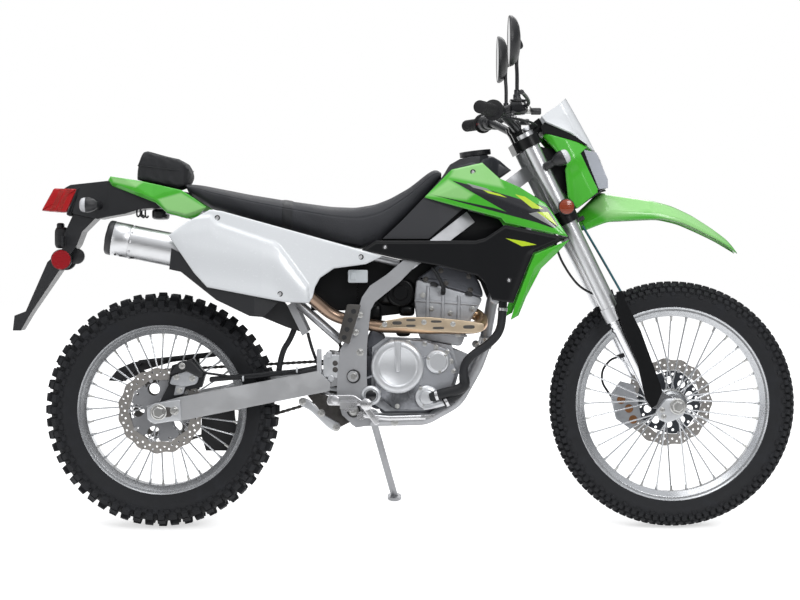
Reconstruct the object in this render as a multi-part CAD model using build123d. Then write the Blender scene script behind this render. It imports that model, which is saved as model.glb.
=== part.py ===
from build123d import *
import math
import os

# Dual sport motorcycle, parked on its side stand.
#
# Everything is drawn with the bike upright: x runs forward from the middle of the wheelbase, y to
# the rider's left, z up from the ground, in millimetres.  What steers is drawn in the fork's own
# frame: u forward of the steering axis, v to the left, w up along it.  At the end each piece is
# leaned over to the left and moved so that it stands on z = 0.

# ---- the whole bike ------------------------------------------------------------------------
LEAN = 10                    # degrees from upright on the side stand
RAKE = 26                    # degrees from the vertical to the steering axis
AXIS_X = 659.3               # foot of the perpendicular from the front axle to the steering axis
AXIS_Z = 316.8
AXLE_OFFSET = 62             # from the steering axis forward to the front axle
PIVOT_X, PIVOT_Z = -180, 426           # swingarm pivot
REAR_AXLE_X, REAR_AXLE_Z = -715, 328
SHIFT_X, SHIFT_Y = 37, -200  # brings the middle of the leaned bike's box over the origin
FIT = 0.3                    # gap between curved faces that seat on each other
RUNNING = 1.0                # gap between a turning part and its pin
WALL = 4                     # thickness of the plastic panels

# ---- wheels --------------------------------------------------------------------------------
FRONT_TYRE_RADIUS, FRONT_TYRE_WIDTH = 344, 86
REAR_TYRE_RADIUS, REAR_TYRE_WIDTH = 328, 120
FRONT_RIM_RADIUS, REAR_RIM_RADIUS = 277, 244
RIM_DEPTH = 24
RIM_LIP = 7                  # the tyre's beads sit this far inside the rim's nominal radius
FRONT_LUG, REAR_LUG = 9, 14            # height of the tread's lugs
FRONT_LUGS, REAR_LUGS = 30, 26         # lugs round each side of a tyre
LUG_HALF = 0.29              # half a lug's length, as a share of the pitch
LUG_STEPS = [(-LUG_HALF - 0.04, 0), (-LUG_HALF, 1), (LUG_HALF, 1),
             (LUG_HALF + 0.04, 0)]   # share, out or in
FRONT_RIM_WIDTH, REAR_RIM_WIDTH = 54, 70
SPOKES = 36
SPOKE_RADIUS = 2.2
AXLE_RADIUS = 9
HUB_FLANGE_RADIUS = 38
FRONT_HUB_HALF, REAR_HUB_HALF = 36, 44
FRONT_DISC_RADIUS, REAR_DISC_RADIUS = 125, 120
DISC_THICKNESS = 4
FRONT_DISC_Y, REAR_DISC_Y = 60, -70    # middle planes of the discs
SPROCKET_Y = 74                        # chain line
CHAIN_PITCH = 15.875
CHAIN_WIDTH = 16
CHAIN_LINKS = 104
CHAIN_REACH = (7.5, 5.5)     # half height at a pin and between pins, in turn
REAR_TEETH, FRONT_TEETH = 42, 14
COUNTERSHAFT_X, COUNTERSHAFT_Z = -112, 432

# ---- fork and bars, in the fork's frame ------------------------------------------------------
FORK_U = 15                  # fork tubes ahead of the steering axis
FORK_HALF = 100              # fork tubes each side of the middle
OUTER_RADIUS = 24
OUTER_LOW = 287              # foot of the outer tubes
INNER_RADIUS = 20
CLAMP_RADIUS = 34
LOWER_CLAMP_W, LOWER_CLAMP_HEIGHT = 605, 38
UPPER_CLAMP_W, UPPER_CLAMP_HEIGHT = 835, 30
OUTER_HIGH = UPPER_CLAMP_W + 27
STEM_RADIUS = 14
HEAD_TUBE_RADIUS = 27
BAR_W = UPPER_CLAMP_W + 49   # middle of the bars in their clamps
BAR_RADIUS = 11
BAR_END_HALF = 400
BAR_BEND_HALF = 225
CONTROL_V = BAR_END_HALF - 168         # brake reservoir, out along the bars
MIRROR_RADIUS = 68
INDICATOR_W = UPPER_CLAMP_W - 80
GRIP_LENGTH, GRIP_RADIUS = 125, 17
STEERING_LOCK = 40           # degrees each way, the limit of the steering joint
BRAKE_HOSE_RADIUS, METER_CABLE_RADIUS, CONTROL_CABLE_RADIUS = 3.2, 2.6, 3

# ---- frame ---------------------------------------------------------------------------------
SPAR_OUTER = 108             # outer faces of the pivot plates, from the middle
SPAR_THICKNESS = 24
CRADLE_RADIUS = 14
CRADLE_HALF = 70
SUBFRAME_RADIUS = 10
SUBFRAME_HALF = 72
ARM_INNER, ARM_OUTER = 88, 114         # swingarm's side members
STAND_X, STAND_Y, STAND_Z = -128, 126, 300      # side stand pivot
FOOT_X, FOOT_Y = -62, 268              # side stand foot on the ground

SIN_RAKE, COS_RAKE = math.sin(math.radians(RAKE)), math.cos(math.radians(RAKE))
SIN_LEAN, COS_LEAN = math.sin(math.radians(LEAN)), math.cos(math.radians(LEAN))
FRONT_AXLE = (AXIS_X + AXLE_OFFSET * COS_RAKE, 0, AXIS_Z + AXLE_OFFSET * SIN_RAKE)
REAR_AXLE = (REAR_AXLE_X, 0, REAR_AXLE_Z)
FORK_FRAME = Plane(origin=(AXIS_X, 0, AXIS_Z), x_dir=(COS_RAKE, 0, SIN_RAKE),
                   z_dir=(-SIN_RAKE, 0, COS_RAKE)).location


# ---- shapes that repeat --------------------------------------------------------------------
def slab(outline, y_low, y_high):
    """A flat outline of (x, z) points, as thick as from y_low to y_high."""
    face = make_face(Polyline(*[(x, y_low, z) for x, z in outline], close=True))
    return extrude(face, amount=y_high - y_low, dir=(0, 1, 0))


def tube(points, radius, bend):
    """A round tube along a path of points, with its corners bent to one radius."""
    path = FilletPolyline(*points, radius=bend) if len(points) > 2 else Line(*points)
    return sweep(Plane(path @ 0, z_dir=path % 0) * Circle(radius), path=path)


def rod(start, end, radius):
    """A straight round bar between two points."""
    return tube([start, end], radius, 0)


def across(x, z, radius, y_low, y_high):
    """A cylinder whose axis runs across the bike."""
    return rod((x, y_low, z), (x, y_high, z), radius)


def ring(x, z, outer, inner, y_low, y_high):
    """A cylinder across the bike with a round hole through it."""
    return across(x, z, outer, y_low, y_high) - across(x, z, inner, y_low - 1, y_high + 1)


def mirrored(shape):
    """The same piece on the other side of the bike."""
    return mirror(shape, about=Plane.XZ)


def pair(shape):
    """A piece and its mirror image."""
    return [shape, mirrored(shape)]


def wall(stations, z_low, z_high, thickness=WALL):
    """A standing curved wall. Stations give x and the outer face's y at its foot and its top."""
    faces = []
    for column, z in ((1, z_low), (2, z_high)):
        outside = [(station[0], station[column], z) for station in stations]
        inside = [(station[0], station[column] - thickness, z) for station in reversed(stations)]
        faces.append(make_face(Polyline(*outside, *inside, close=True)))
    return loft(faces, ruled=True)


def panel(outline, stations, thickness=WALL):
    """The part of a curved wall that lies within a side-view outline."""
    heights = [z for x, z in outline]
    sheet = wall(stations, min(heights) - 5, max(heights) + 5, thickness)
    return sheet & slab(outline, 0, 400)


def turned(section):
    """A ring turned about the y axis from (radius, y) points."""
    return revolve(make_face(Polyline(*section, close=True)), Axis.Y)


PIECES = {}


def keep(name, *shapes):
    """Add a piece in the upright bike's frame."""
    flat = []
    for shape in shapes:
        flat += shape if isinstance(shape, list) else [shape]
    PIECES[name] = flat


def keep_on_fork(name, *shapes):
    """Add a piece that is drawn in the fork's own frame."""
    flat = []
    for shape in shapes:
        flat += shape if isinstance(shape, list) else [shape]
    PIECES[name] = [FORK_FRAME * shape for shape in flat]


# ---- wheels --------------------------------------------------------------------------------
def polygon_band(rings):
    """A faceted body across the bike: rings of (radius, y), each with as many corners as the last."""
    faces = [make_face(Polyline(*[(r * c, y, r * s) for r, c, s in ring], close=True)) for ring, y in rings]
    return loft(faces, ruled=True)


def plain_ring(radius, count):
    """Corners (radius, cos, sin) of a regular outline."""
    angles = [2 * math.pi * (number + 0.5) / count for number in range(count)]
    return [(radius, math.cos(a), math.sin(a)) for a in angles]


def lug_ring(radius, root, count, phase):
    """Corners of an outline that steps out to the lugs' tips and back to their roots."""
    corners = []
    for number in range(count):
        for share, reach in LUG_STEPS:
            angle = 2 * math.pi * (number + phase + share) / count - math.pi / 2
            corners.append((radius if reach else root, math.cos(angle), math.sin(angle)))
    return corners


def tyre(radius, width, rim_radius, lug, count):
    """A faceted carcass with a ring of lugs on each side of the middle, set half a pitch apart."""
    crown, sides = radius - lug, count
    half = [(crown, 0), (crown - 0.16 * width, 0.45 * width),
            (rim_radius + 0.45 * (crown - rim_radius), 0.5 * width),
            (rim_radius - RIM_LIP + 3, 0.36 * width)]
    whole = [(r, -y) for r, y in reversed(half[1:])] + half
    body = polygon_band([(plain_ring(r, sides), y) for r, y in whole])
    for side in (1, -1):
        root, phase = crown - 0.25 * width, 0.5 * (side < 0)
        rings = [(lug_ring(radius, root, count, phase), -side * 0.02 * width),
                 (lug_ring(radius - 0.03 * width, root, count, phase), side * 0.24 * width),
                 (lug_ring(radius - 0.16 * width, root, count, phase), side * 0.45 * width)]
        body += polygon_band(rings if side > 0 else rings[::-1])
    bore = (rim_radius - RIM_LIP + FIT) / math.cos(math.pi / sides)
    return body - polygon_band([(plain_ring(bore, sides), -width), (plain_ring(bore, sides), width)])


def spoked_wheel(rim_radius, rim_width, hub_half, bore):
    """Rim, spokes and hub in one."""
    edge = rim_width / 2
    rim = turned([(rim_radius, edge), (rim_radius - RIM_DEPTH * 0.4, edge),
                  (rim_radius - RIM_DEPTH, edge - 12),
                  (rim_radius - RIM_DEPTH, 12 - edge), (rim_radius - RIM_DEPTH * 0.4, -edge),
                  (rim_radius, -edge), (rim_radius - RIM_DEPTH * 0.4, 0)])
    flange = HUB_FLANGE_RADIUS
    hub = turned([(bore, -hub_half), (flange - 8, -hub_half), (flange, 8 - hub_half),
                  (flange, 3 - hub_half + 10),
                  (flange - 14, 24 - hub_half), (flange - 14, hub_half - 24), (flange, hub_half - 13),
                  (flange, hub_half - 8), (flange - 8, hub_half), (bore, hub_half)])
    spokes = []
    for number in range(SPOKES):
        side = 1 if number % 2 else -1
        slant = (20 if number % 4 < 2 else -20)
        at_rim = math.radians(360 / SPOKES * number)
        at_hub = at_rim + math.radians(slant)
        inner = flange - 4
        outer = rim_radius - RIM_DEPTH + 4
        start = (inner * math.cos(at_hub), side * (hub_half - 10), inner * math.sin(at_hub))
        end = (outer * math.cos(at_rim), side * 4, outer * math.sin(at_rim))
        spokes.append(rod(start, end, SPOKE_RADIUS))
    return rim.fuse(hub, *spokes)


def brake_disc(radius, y):
    """A disc with a waved edge, a ring of slots and five arms to its hub."""
    waves = []
    for step in range(60):
        angle = math.radians(6 * step)
        edge = radius - (0 if step % 6 < 3 else 4)
        waves.append((edge * math.cos(angle), edge * math.sin(angle)))
    disc = slab(waves, y - DISC_THICKNESS / 2, y + DISC_THICKNESS / 2)
    disc -= across(0, 0, HUB_FLANGE_RADIUS - 8, y - 9, y + 9)
    for number in range(6):
        angle = math.radians(60 * number)
        disc -= across(66 * math.cos(angle), 66 * math.sin(angle), 17, y - 9, y + 9)
    return disc


def sprocket(teeth, radius, y):
    """A toothed wheel that keeps clear of the chain's inside."""
    points = []
    for step in range(teeth):
        for part, reach in ((0, -5), (0.3, 0), (0.7, 0)):
            angle = 2 * math.pi * (step + part) / teeth
            points.append(((radius + reach) * math.cos(angle), (radius + reach) * math.sin(angle)))
    return slab(points, y - 3, y + 3)


def at(place, shape):
    """The same shape moved from the origin to a place."""
    return Pos(*place) * shape


def make_wheels():
    bore = AXLE_RADIUS + RUNNING
    keep("front_tyre", at(FRONT_AXLE, tyre(FRONT_TYRE_RADIUS, FRONT_TYRE_WIDTH, FRONT_RIM_RADIUS,
                                        FRONT_LUG, FRONT_LUGS)))
    keep("front_wheel", at(FRONT_AXLE, spoked_wheel(FRONT_RIM_RADIUS - RIM_LIP, FRONT_RIM_WIDTH,
                                                    FRONT_HUB_HALF, bore)))
    carrier = ring(0, 0, HUB_FLANGE_RADIUS - 8, bore, FRONT_HUB_HALF, FRONT_DISC_Y + DISC_THICKNESS / 2)
    keep("front_disc", at(FRONT_AXLE, brake_disc(FRONT_DISC_RADIUS, FRONT_DISC_Y) + carrier))
    keep("rear_tyre", at(REAR_AXLE, tyre(REAR_TYRE_RADIUS, REAR_TYRE_WIDTH, REAR_RIM_RADIUS,
                                      REAR_LUG, REAR_LUGS)))
    keep("rear_wheel", at(REAR_AXLE, spoked_wheel(REAR_RIM_RADIUS - RIM_LIP, REAR_RIM_WIDTH, REAR_HUB_HALF,
                                                  bore)))
    carrier = ring(0, 0, HUB_FLANGE_RADIUS - 8, bore, REAR_DISC_Y - DISC_THICKNESS / 2, -REAR_HUB_HALF)
    keep("rear_disc", at(REAR_AXLE, brake_disc(REAR_DISC_RADIUS, REAR_DISC_Y) + carrier))
    toothed = sprocket(REAR_TEETH, chain_radius(REAR_TEETH) - 13, SPROCKET_Y)
    for number in range(6):
        angle = math.radians(60 * number)
        toothed -= across(62 * math.cos(angle), 62 * math.sin(angle), 16, 60, 90)
    carrier = across(0, 0, HUB_FLANGE_RADIUS - 8, REAR_HUB_HALF, SPROCKET_Y + 3)
    keep("rear_sprocket", at(REAR_AXLE, toothed + carrier - across(0, 0, bore, 0, 100)))


# ---- chain ---------------------------------------------------------------------------------
def chain_radius(teeth):
    return CHAIN_PITCH / (2 * math.sin(math.pi / teeth))


def chain_path(step_count):
    """Points and outward normals round the two sprockets, evenly spaced, as (x, z, nx, nz)."""
    dx, dz = COUNTERSHAFT_X - REAR_AXLE_X, COUNTERSHAFT_Z - REAR_AXLE_Z
    distance = math.hypot(dx, dz)
    big, small = chain_radius(REAR_TEETH), chain_radius(FRONT_TEETH)
    tilt = math.atan2(dz, dx)
    spread = math.acos((big - small) / distance)
    straight = distance * math.sin(spread)
    spans = [big * 2 * (math.pi - spread), straight, small * 2 * spread, straight]
    total = sum(spans)
    points = []
    for index in range(step_count):
        run = total * index / step_count
        if run < spans[0]:
            angle = tilt - spread - run / big
            x, z = REAR_AXLE_X + big * math.cos(angle), REAR_AXLE_Z + big * math.sin(angle)
        elif run < spans[0] + spans[1]:
            angle = tilt + spread
            along = run - spans[0]
            x = REAR_AXLE_X + big * math.cos(angle) + along * math.sin(angle)
            z = REAR_AXLE_Z + big * math.sin(angle) - along * math.cos(angle)
        elif run < spans[0] + spans[1] + spans[2]:
            angle = tilt + spread - (run - spans[0] - spans[1]) / small
            x, z = COUNTERSHAFT_X + small * math.cos(angle), COUNTERSHAFT_Z + small * math.sin(angle)
        else:
            angle = tilt - spread
            along = run - spans[0] - spans[1] - spans[2]
            x = COUNTERSHAFT_X + small * math.cos(angle) + along * math.sin(angle)
            z = COUNTERSHAFT_Z + small * math.sin(angle) - along * math.cos(angle)
        points.append((x, z, math.cos(angle), math.sin(angle)))
    return points


def make_chain():
    """One fixed loop of flat links, pinched between each pin and the next."""
    loops = []
    for side in (1, -1):
        path = chain_path(CHAIN_LINKS)
        loops.append([(x + side * reach * nx, z + side * reach * nz)
                      for (x, z, nx, nz), reach in zip(path, CHAIN_REACH * (CHAIN_LINKS // 2))])
    low, high = SPROCKET_Y - CHAIN_WIDTH / 2, SPROCKET_Y + CHAIN_WIDTH / 2
    keep("drive_chain", slab(loops[0], low, high) - slab(loops[1], low - 1, high + 1))


# ---- frame ---------------------------------------------------------------------------------
SPAR_OUTLINE = [(3, 742), (-50, 687), (-119, 631), (-131, 609), (-141, 513), (-142, 430), (-138, 347),
                (-132, 290), (-172, 284), (-210, 319), (-224, 374), (-224, 416), (-216, 499), (-188, 540),
                (-166, 609), (-155, 645), (-133, 676), (-88, 706), (-39, 748)]
HEAD_LOW, HEAD_HIGH = LOWER_CLAMP_W + LOWER_CLAMP_HEIGHT / 2 + 2, UPPER_CLAMP_W - UPPER_CLAMP_HEIGHT / 2 - 2


def on_fork(u, v, w):
    """A point of the fork's frame, in the bike's frame."""
    return (AXIS_X + u * COS_RAKE - w * SIN_RAKE, v, AXIS_Z + u * SIN_RAKE + w * COS_RAKE)


def spar_beam(room):
    """The left beam from its pivot plate to the head tube, grown by some room on every side."""
    rear_x, rear_z = -25, 735
    front_x, _, front_z = on_fork(-5, 0, HEAD_HIGH - 55)
    rise = math.atan2(front_z - rear_z, front_x - rear_x)
    ends = []
    for x, y, z, height in ((rear_x, SPAR_OUTER - SPAR_THICKNESS / 2, rear_z, 34),
                            (front_x, 12, front_z, 40)):
        nx, nz = -math.sin(rise) * (height / 2 + room), math.cos(rise) * (height / 2 + room)
        half = SPAR_THICKNESS / 2 + room
        ends.append(make_face(Polyline((x + nx, y + half, z + nz), (x + nx, y - half, z + nz),
                                       (x - nx, y - half, z - nz), (x - nx, y + half, z - nz), close=True)))
    return loft(ends, ruled=True)


def make_frame():
    inner = SPAR_OUTER - SPAR_THICKNESS
    plate = slab(SPAR_OUTLINE, inner, SPAR_OUTER)
    plate -= across(PIVOT_X, PIVOT_Z, 10, inner - 1, SPAR_OUTER + 1)
    head = FORK_FRAME * (Pos(0, 0, (HEAD_LOW + HEAD_HIGH) / 2) * Cylinder(HEAD_TUBE_RADIUS,
                                                                          HEAD_HIGH - HEAD_LOW))
    spar = plate + spar_beam(0)
    bore = FORK_FRAME * (Pos(0, 0, (HEAD_LOW + HEAD_HIGH) / 2) * Cylinder(STEM_RADIUS + RUNNING, 400))
    cross = across(-176, 300, 12, -inner - 2, inner + 2)
    box = slab([(-196, 624), (-157, 622), (-188, 516), (-220, 529)], -SPAR_OUTER - 14, -SPAR_OUTER + 2)
    keep("main_frame", (head + spar + mirrored(spar) + cross + box) - bore)

    top_x, _, top_z = on_fork(-12, 0, HEAD_LOW + 60)
    down = tube([(top_x, 0, top_z), (212, 0, 640), (190, 0, 518)], 16, 120)
    down -= FORK_FRAME * (Pos(0, 0, (HEAD_LOW + HEAD_HIGH) / 2)
                          * Cylinder(HEAD_TUBE_RADIUS + FIT, HEAD_HIGH - HEAD_LOW))
    yoke = slab([(172, 500), (204, 500), (210, 530), (178, 530)], -CRADLE_HALF - 8, CRADLE_HALF + 8)
    rail = tube([(190, CRADLE_HALF, 512), (168, CRADLE_HALF, 452), (112, CRADLE_HALF, 352),
                 (22, CRADLE_HALF, 302),
                 (-120, CRADLE_HALF, 299), (-172, CRADLE_HALF - 2, 299)], CRADLE_RADIUS, [200, 90, 80, 300])
    keep("frame_cradle", down + yoke + rail + mirrored(rail) - across(-176, 300, 12 + FIT, -100, 100))

    upper = tube([(-52, SUBFRAME_HALF + 2, 738), (-160, SUBFRAME_HALF, 764.2), (-560, SUBFRAME_HALF, 870.2),
                  (-700, SUBFRAME_HALF - 10, 885.3)], SUBFRAME_RADIUS, [200, 300])
    strut = tube([(-214, SUBFRAME_HALF, 520), (-330, SUBFRAME_HALF, 622), (-548, SUBFRAME_HALF, 862)],
                 SUBFRAME_RADIUS, 200)
    peg = across(-345, 634, 9, SUBFRAME_HALF, 112) + slab([(-361, 622), (-343, 632), (-303, 548),
                                                           (-320, 538)], 88, 112)
    strut += peg
    cross = across(-330, 622, 8, -SUBFRAME_HALF, SUBFRAME_HALF)
    rear_cross = across(-640, 874, 8, -SUBFRAME_HALF, SUBFRAME_HALF)
    keep("subframe", upper + strut + mirrored(upper) + mirrored(strut) + cross + rear_cross)


def make_swingarm():
    outline = [(-749, 344), (-657, 369), (-276, 441), (-243, 410), (-243, 386), (-657, 303), (-740, 298)]
    arm = slab(outline, ARM_INNER, ARM_OUTER) - across(REAR_AXLE_X, REAR_AXLE_Z, AXLE_RADIUS + FIT, 0, 200)
    lug = slab([(-262, 440), (PIVOT_X, 446), (PIVOT_X + 18, 436), (PIVOT_X + 18, 416), (PIVOT_X, 406),
                (-262, 392)], 62, 82)
    neck = slab([(-300, 434), (-240, 438), (-240, 400), (-300, 388)], 62, ARM_INNER + 2)
    side = arm + neck + lug
    bridge = slab([(-300, 425), (-262, 432), (-262, 398), (-300, 385)], -64, 64)
    pivot_tube = across(PIVOT_X, PIVOT_Z, 19, -82, 82)
    bore = across(PIVOT_X, PIVOT_Z, 8 + FIT, -90, 90)
    chain_slot = slab([(-320, 470), (-150, 480), (-150, 447), (-320, 441)], 50, ARM_INNER)
    shaft = across(PIVOT_X, PIVOT_Z, 8, -SPAR_OUTER - 6, SPAR_OUTER + 6)
    nut = across(PIVOT_X, PIVOT_Z, 15, SPAR_OUTER, SPAR_OUTER + 8)
    keep("swingarm", side + mirrored(side) + bridge + pivot_tube - bore - chain_slot, shaft + nut
         + mirrored(nut))


def make_suspension():
    eye_low, eye_high = (-240, 0, 338), (-206, 0, 512)
    shock = rod(eye_low, eye_high, 12)
    along = [(high - low) for low, high in zip(eye_low, eye_high)]
    spring_low = [low + 0.2 * step for low, step in zip(eye_low, along)]
    spring_high = [low + 0.82 * step for low, step in zip(eye_low, along)]
    shock += rod(tuple(spring_low), tuple(spring_high), 20)
    shock += across(eye_low[0], eye_low[2], 15, -13, 13) + across(eye_high[0], eye_high[2], 16, -13, 13)
    shock -= across(eye_high[0], eye_high[2], 8 + FIT, -30, 30)
    shock -= across(eye_low[0], eye_low[2], 7 + FIT, -30, 30)
    plates = slab([(-322, 384), (-296, 384), (-228, 352), (-190, 316), (-186, 294), (-222, 276),
                   (-262, 312)], 14, 24)
    plates -= across(-176, 300, 12 + FIT, 0, 30)
    linkage = plates + mirrored(plates) + across(eye_low[0], eye_low[2], 7, -28, 28)
    keep("rear_shock", shock, linkage)


# ---- engine --------------------------------------------------------------------------------
CRANK_X, CRANK_Z = 10, 430
CLUTCH_X, CLUTCH_Z, CLUTCH_RADIUS = -56, 454, 70
CASE_RIGHT, CASE_LEFT = -80, 56
COVER_RIGHT = -102


def make_engine():
    case = slab([(-127, 505), (-91, 531), (6, 526), (95, 510), (116, 442), (98, 378), (56, 350), (18, 330),
                 (-91, 328), (-130, 352)], CASE_RIGHT, CASE_LEFT)
    case += across(CRANK_X, CRANK_Z, 68, CASE_LEFT - 2, 92)
    case += slab([(100, 430), (160, 430), (172, 470), (100, 500)], FIT - CRADLE_HALF + CRADLE_RADIUS,
                 CRADLE_HALF - CRADLE_RADIUS - FIT)
    case += across(-160, 492, 13, SPAR_THICKNESS - SPAR_OUTER,
                   -40) + slab([(-170, 480), (-110, 480), (-110, 505),
                                                                         (-170, 505)], -74, -44)
    case += across(COUNTERSHAFT_X, COUNTERSHAFT_Z, 12, CASE_LEFT, SPROCKET_Y + 6)
    front = at((COUNTERSHAFT_X, 0, COUNTERSHAFT_Z),
               sprocket(FRONT_TEETH, chain_radius(FRONT_TEETH) - 11, SPROCKET_Y))
    keep("engine_cases", case + front)
    cylinder = slab([(-8, 632), (169, 619), (145, 577), (121, 507), (6, 527), (2, 551)], -60, 50)
    head = slab([(-2, 692), (17, 706), (53, 731), (145, 714), (167, 692), (184, 656), (171, 620),
                 (-9, 633)], -70, 62)
    head += slab([(30, 718), (54, 738), (150, 720), (158, 700)], -60, 52)
    keep("cylinder_head", head + cylinder)
    cover = slab([(-122, 495), (-75, 529), (20, 524), (88, 500), (108, 440), (88, 372), (22, 336),
                  (-60, 334),
                  (-118, 378)], COVER_RIGHT, CASE_RIGHT)
    cover += across(CLUTCH_X, CLUTCH_Z, CLUTCH_RADIUS, COVER_RIGHT - 14, COVER_RIGHT)
    cover += ring(CLUTCH_X, CLUTCH_Z, CLUTCH_RADIUS - 17, CLUTCH_RADIUS - 22, COVER_RIGHT - 17, COVER_RIGHT
                  - 14)
    cover += across(54, 467, 30, COVER_RIGHT - 12, COVER_RIGHT) + across(27, 374, 31, COVER_RIGHT - 18,
                                                                         COVER_RIGHT)
    left = across(CRANK_X, CRANK_Z, 60, 92, 106)
    left += slab([(-130, 398), (-58.3, 398), (-58.3, 470), (-130, 476)], 86, 92)
    keep("engine_covers", cover, left)


# header pipe: x, y, z of the corners of its route
HEADER_ROUTE = [(157.8, -30, 598.3), (180, -30, 585.4), (176, -104, 560), (20, -104, 560), (-110, -64, 562),
                (-235, -64, 590), (-375, -118, 712), (-432, -118, 724.7)]
HEADER_RADIUS = 17
SILENCER_RADIUS = 46


def make_exhaust():
    keep("exhaust_header", tube(HEADER_ROUTE, HEADER_RADIUS, [22, 38, 150, 150, 120, 120]))
    guard = slab([(-111, 557), (-91, 579), (-36, 587), (33, 590), (144, 579), (182, 573), (171, 549),
                  (61, 551),
                  (-36, 562)], -125, -121.5)
    for x in (-40, 30, 100):
        guard -= slab([(x - 22, 565), (x + 22, 568), (x + 22, 574), (x - 22, 573)], -130, -110)
    keep("header_guard", guard)
    mouth, front, rear = (-432.5, -118, 725.3), (-480, -118, 737), (-832, -120, 806)
    cone = loft([Plane(mouth, z_dir=(-1, 0, 0.22)) * Circle(20), Plane(front, z_dir=(-1, 0, 0.22))
                 * Circle(44)])
    body = rod(front, rear, SILENCER_RADIUS)
    tip = rod(rear, (-850, -120, 809.5), 20)
    keep("silencer", body + cone + tip - rod((-842, -120, 808), (-860, -120, 811.5), 15))
    shield = panel([(-682, 722), (-650, 715), (-553, 638), (-462, 594), (-425, 591), (-372, 645),
                    (-380, 672), (-500, 695),
                    (-600, 740), (-676, 780)], [(-690, 169, 169), (-450, 169, 169), (-355, 149, 149)], 3)
    stay = slab([(-402, 645), (-358, 645), (-358, 668), (-396, 672)], SUBFRAME_HALF + SUBFRAME_RADIUS
                + FIT, 148)
    keep("silencer_shield", mirrored(shield + stay))


# ---- cooling, intake -------------------------------------------------------------------------
def make_cooling():
    core = slab([(220, 667), (252, 667), (298, 838), (266, 838)], 50, 128)
    stay = slab([(228, 690), (240, 690), (246, 705), (234, 705)], 16, 50)
    hose = tube([(237, -100, 665.7), (235, -108, 560), (178, -118, 505), (116, -122, 470),
                 (66, -118, 400)], 12,
                [90, 60, 60])
    keep("radiators", pair(core + stay))
    keep("coolant_hose", hose)
    box = slab([(-298, 606), (-175, 606), (-168, 640), (-168, 735), (-298, 745)], -36, 60)
    throat = rod((-168, 0, 660), (-9.3, 0, 660), 26) + rod((-110, 0, 660), (-60, 0, 660), 34)
    relay = slab([(-194, 684), (-139, 684), (-139, 720), (-194, 720)], -72, -30)
    keep("airbox", box + throat + relay)


# ---- tank, seat and panels -------------------------------------------------------------------
def plan_prism(stations, low, high, inset=0):
    """A standing prism between two mirrored plan curves of (x, half width)."""
    left = [(x, half - inset, low) for x, half in stations]
    right = [(x, inset - half, low) for x, half in reversed(stations)]
    return extrude(make_face(Polyline(*left, *right, close=True)), amount=high - low, dir=(0, 0, 1))


def moulding(outline, stations, drop, thickness=WALL):
    """A hollow moulding: outline and plan curve together, cut by a copy moved by the drop."""
    heights = [z for x, z in outline]
    low, high = min(heights) - 20, max(heights) + 20
    moved = [(x + drop[0], z + drop[1]) for x, z in outline]
    inner = slab(moved, -400, 400) & plan_prism(stations, low, high, thickness)
    return (slab(outline, -400, 400) & plan_prism(stations, low, high)) - inner


def make_tank():
    outline = [(-98, 806), (30, 806), (128, 893), (244, 990), (262, 999), (248, 1010), (228, 1026),
               (210, 1036),
               (186, 1039), (117, 1028), (89, 1012), (72, 983), (26, 930), (-44, 857)]
    plan = [(-100, 96), (60, 96), (172, 90), (196, 66), (203, 32), (270, 28)]
    tank = slab(outline, -120, 120) & plan_prism(plan, 700, 1100)
    tank -= spar_beam(FIT)
    tank -= mirrored(spar_beam(FIT))
    keep("fuel_tank", tank)
    neck = Pos(163, 0, 1036) * Rot(0, -7, 0) * Cylinder(36, 12)
    cap = Pos(163, 0, 1047) * Rot(0, -7, 0) * Cylinder(44, 14)
    keep("fuel_cap", (neck + cap) - tank)


def make_seat():
    outline = [(-648, 963), (-603, 957), (-465, 930), (-368, 914), (-243, 897), (-174, 894), (-119, 903),
               (-77, 919),
               (-22, 950), (33, 996), (56, 1007), (69, 986), (23, 932), (-47, 859), (-101, 803),
               (-130, 790),
               (-158, 780), (-202, 786), (-326, 820), (-464, 857), (-575, 890), (-603, 908), (-638, 930)]
    plan = [(-650, 74), (-600, 92), (-430, 112), (-260, 108), (-120, 88), (0, 74), (70, 64)]
    keep("seat", slab(outline, -130, 130) & plan_prism(plan, 700, 1100))
    bag = [(-751, 1042), (-735, 1052), (-660, 1034), (-626, 1000), (-624, 984), (-634, 961.6),
           (-648, 963.4), (-768, 984)]
    keep("tool_bag", slab(bag, -92, 92) & plan_prism([(-770, 70), (-750, 88), (-650, 92), (-622, 74)], 900,
                                                     1100))


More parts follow.
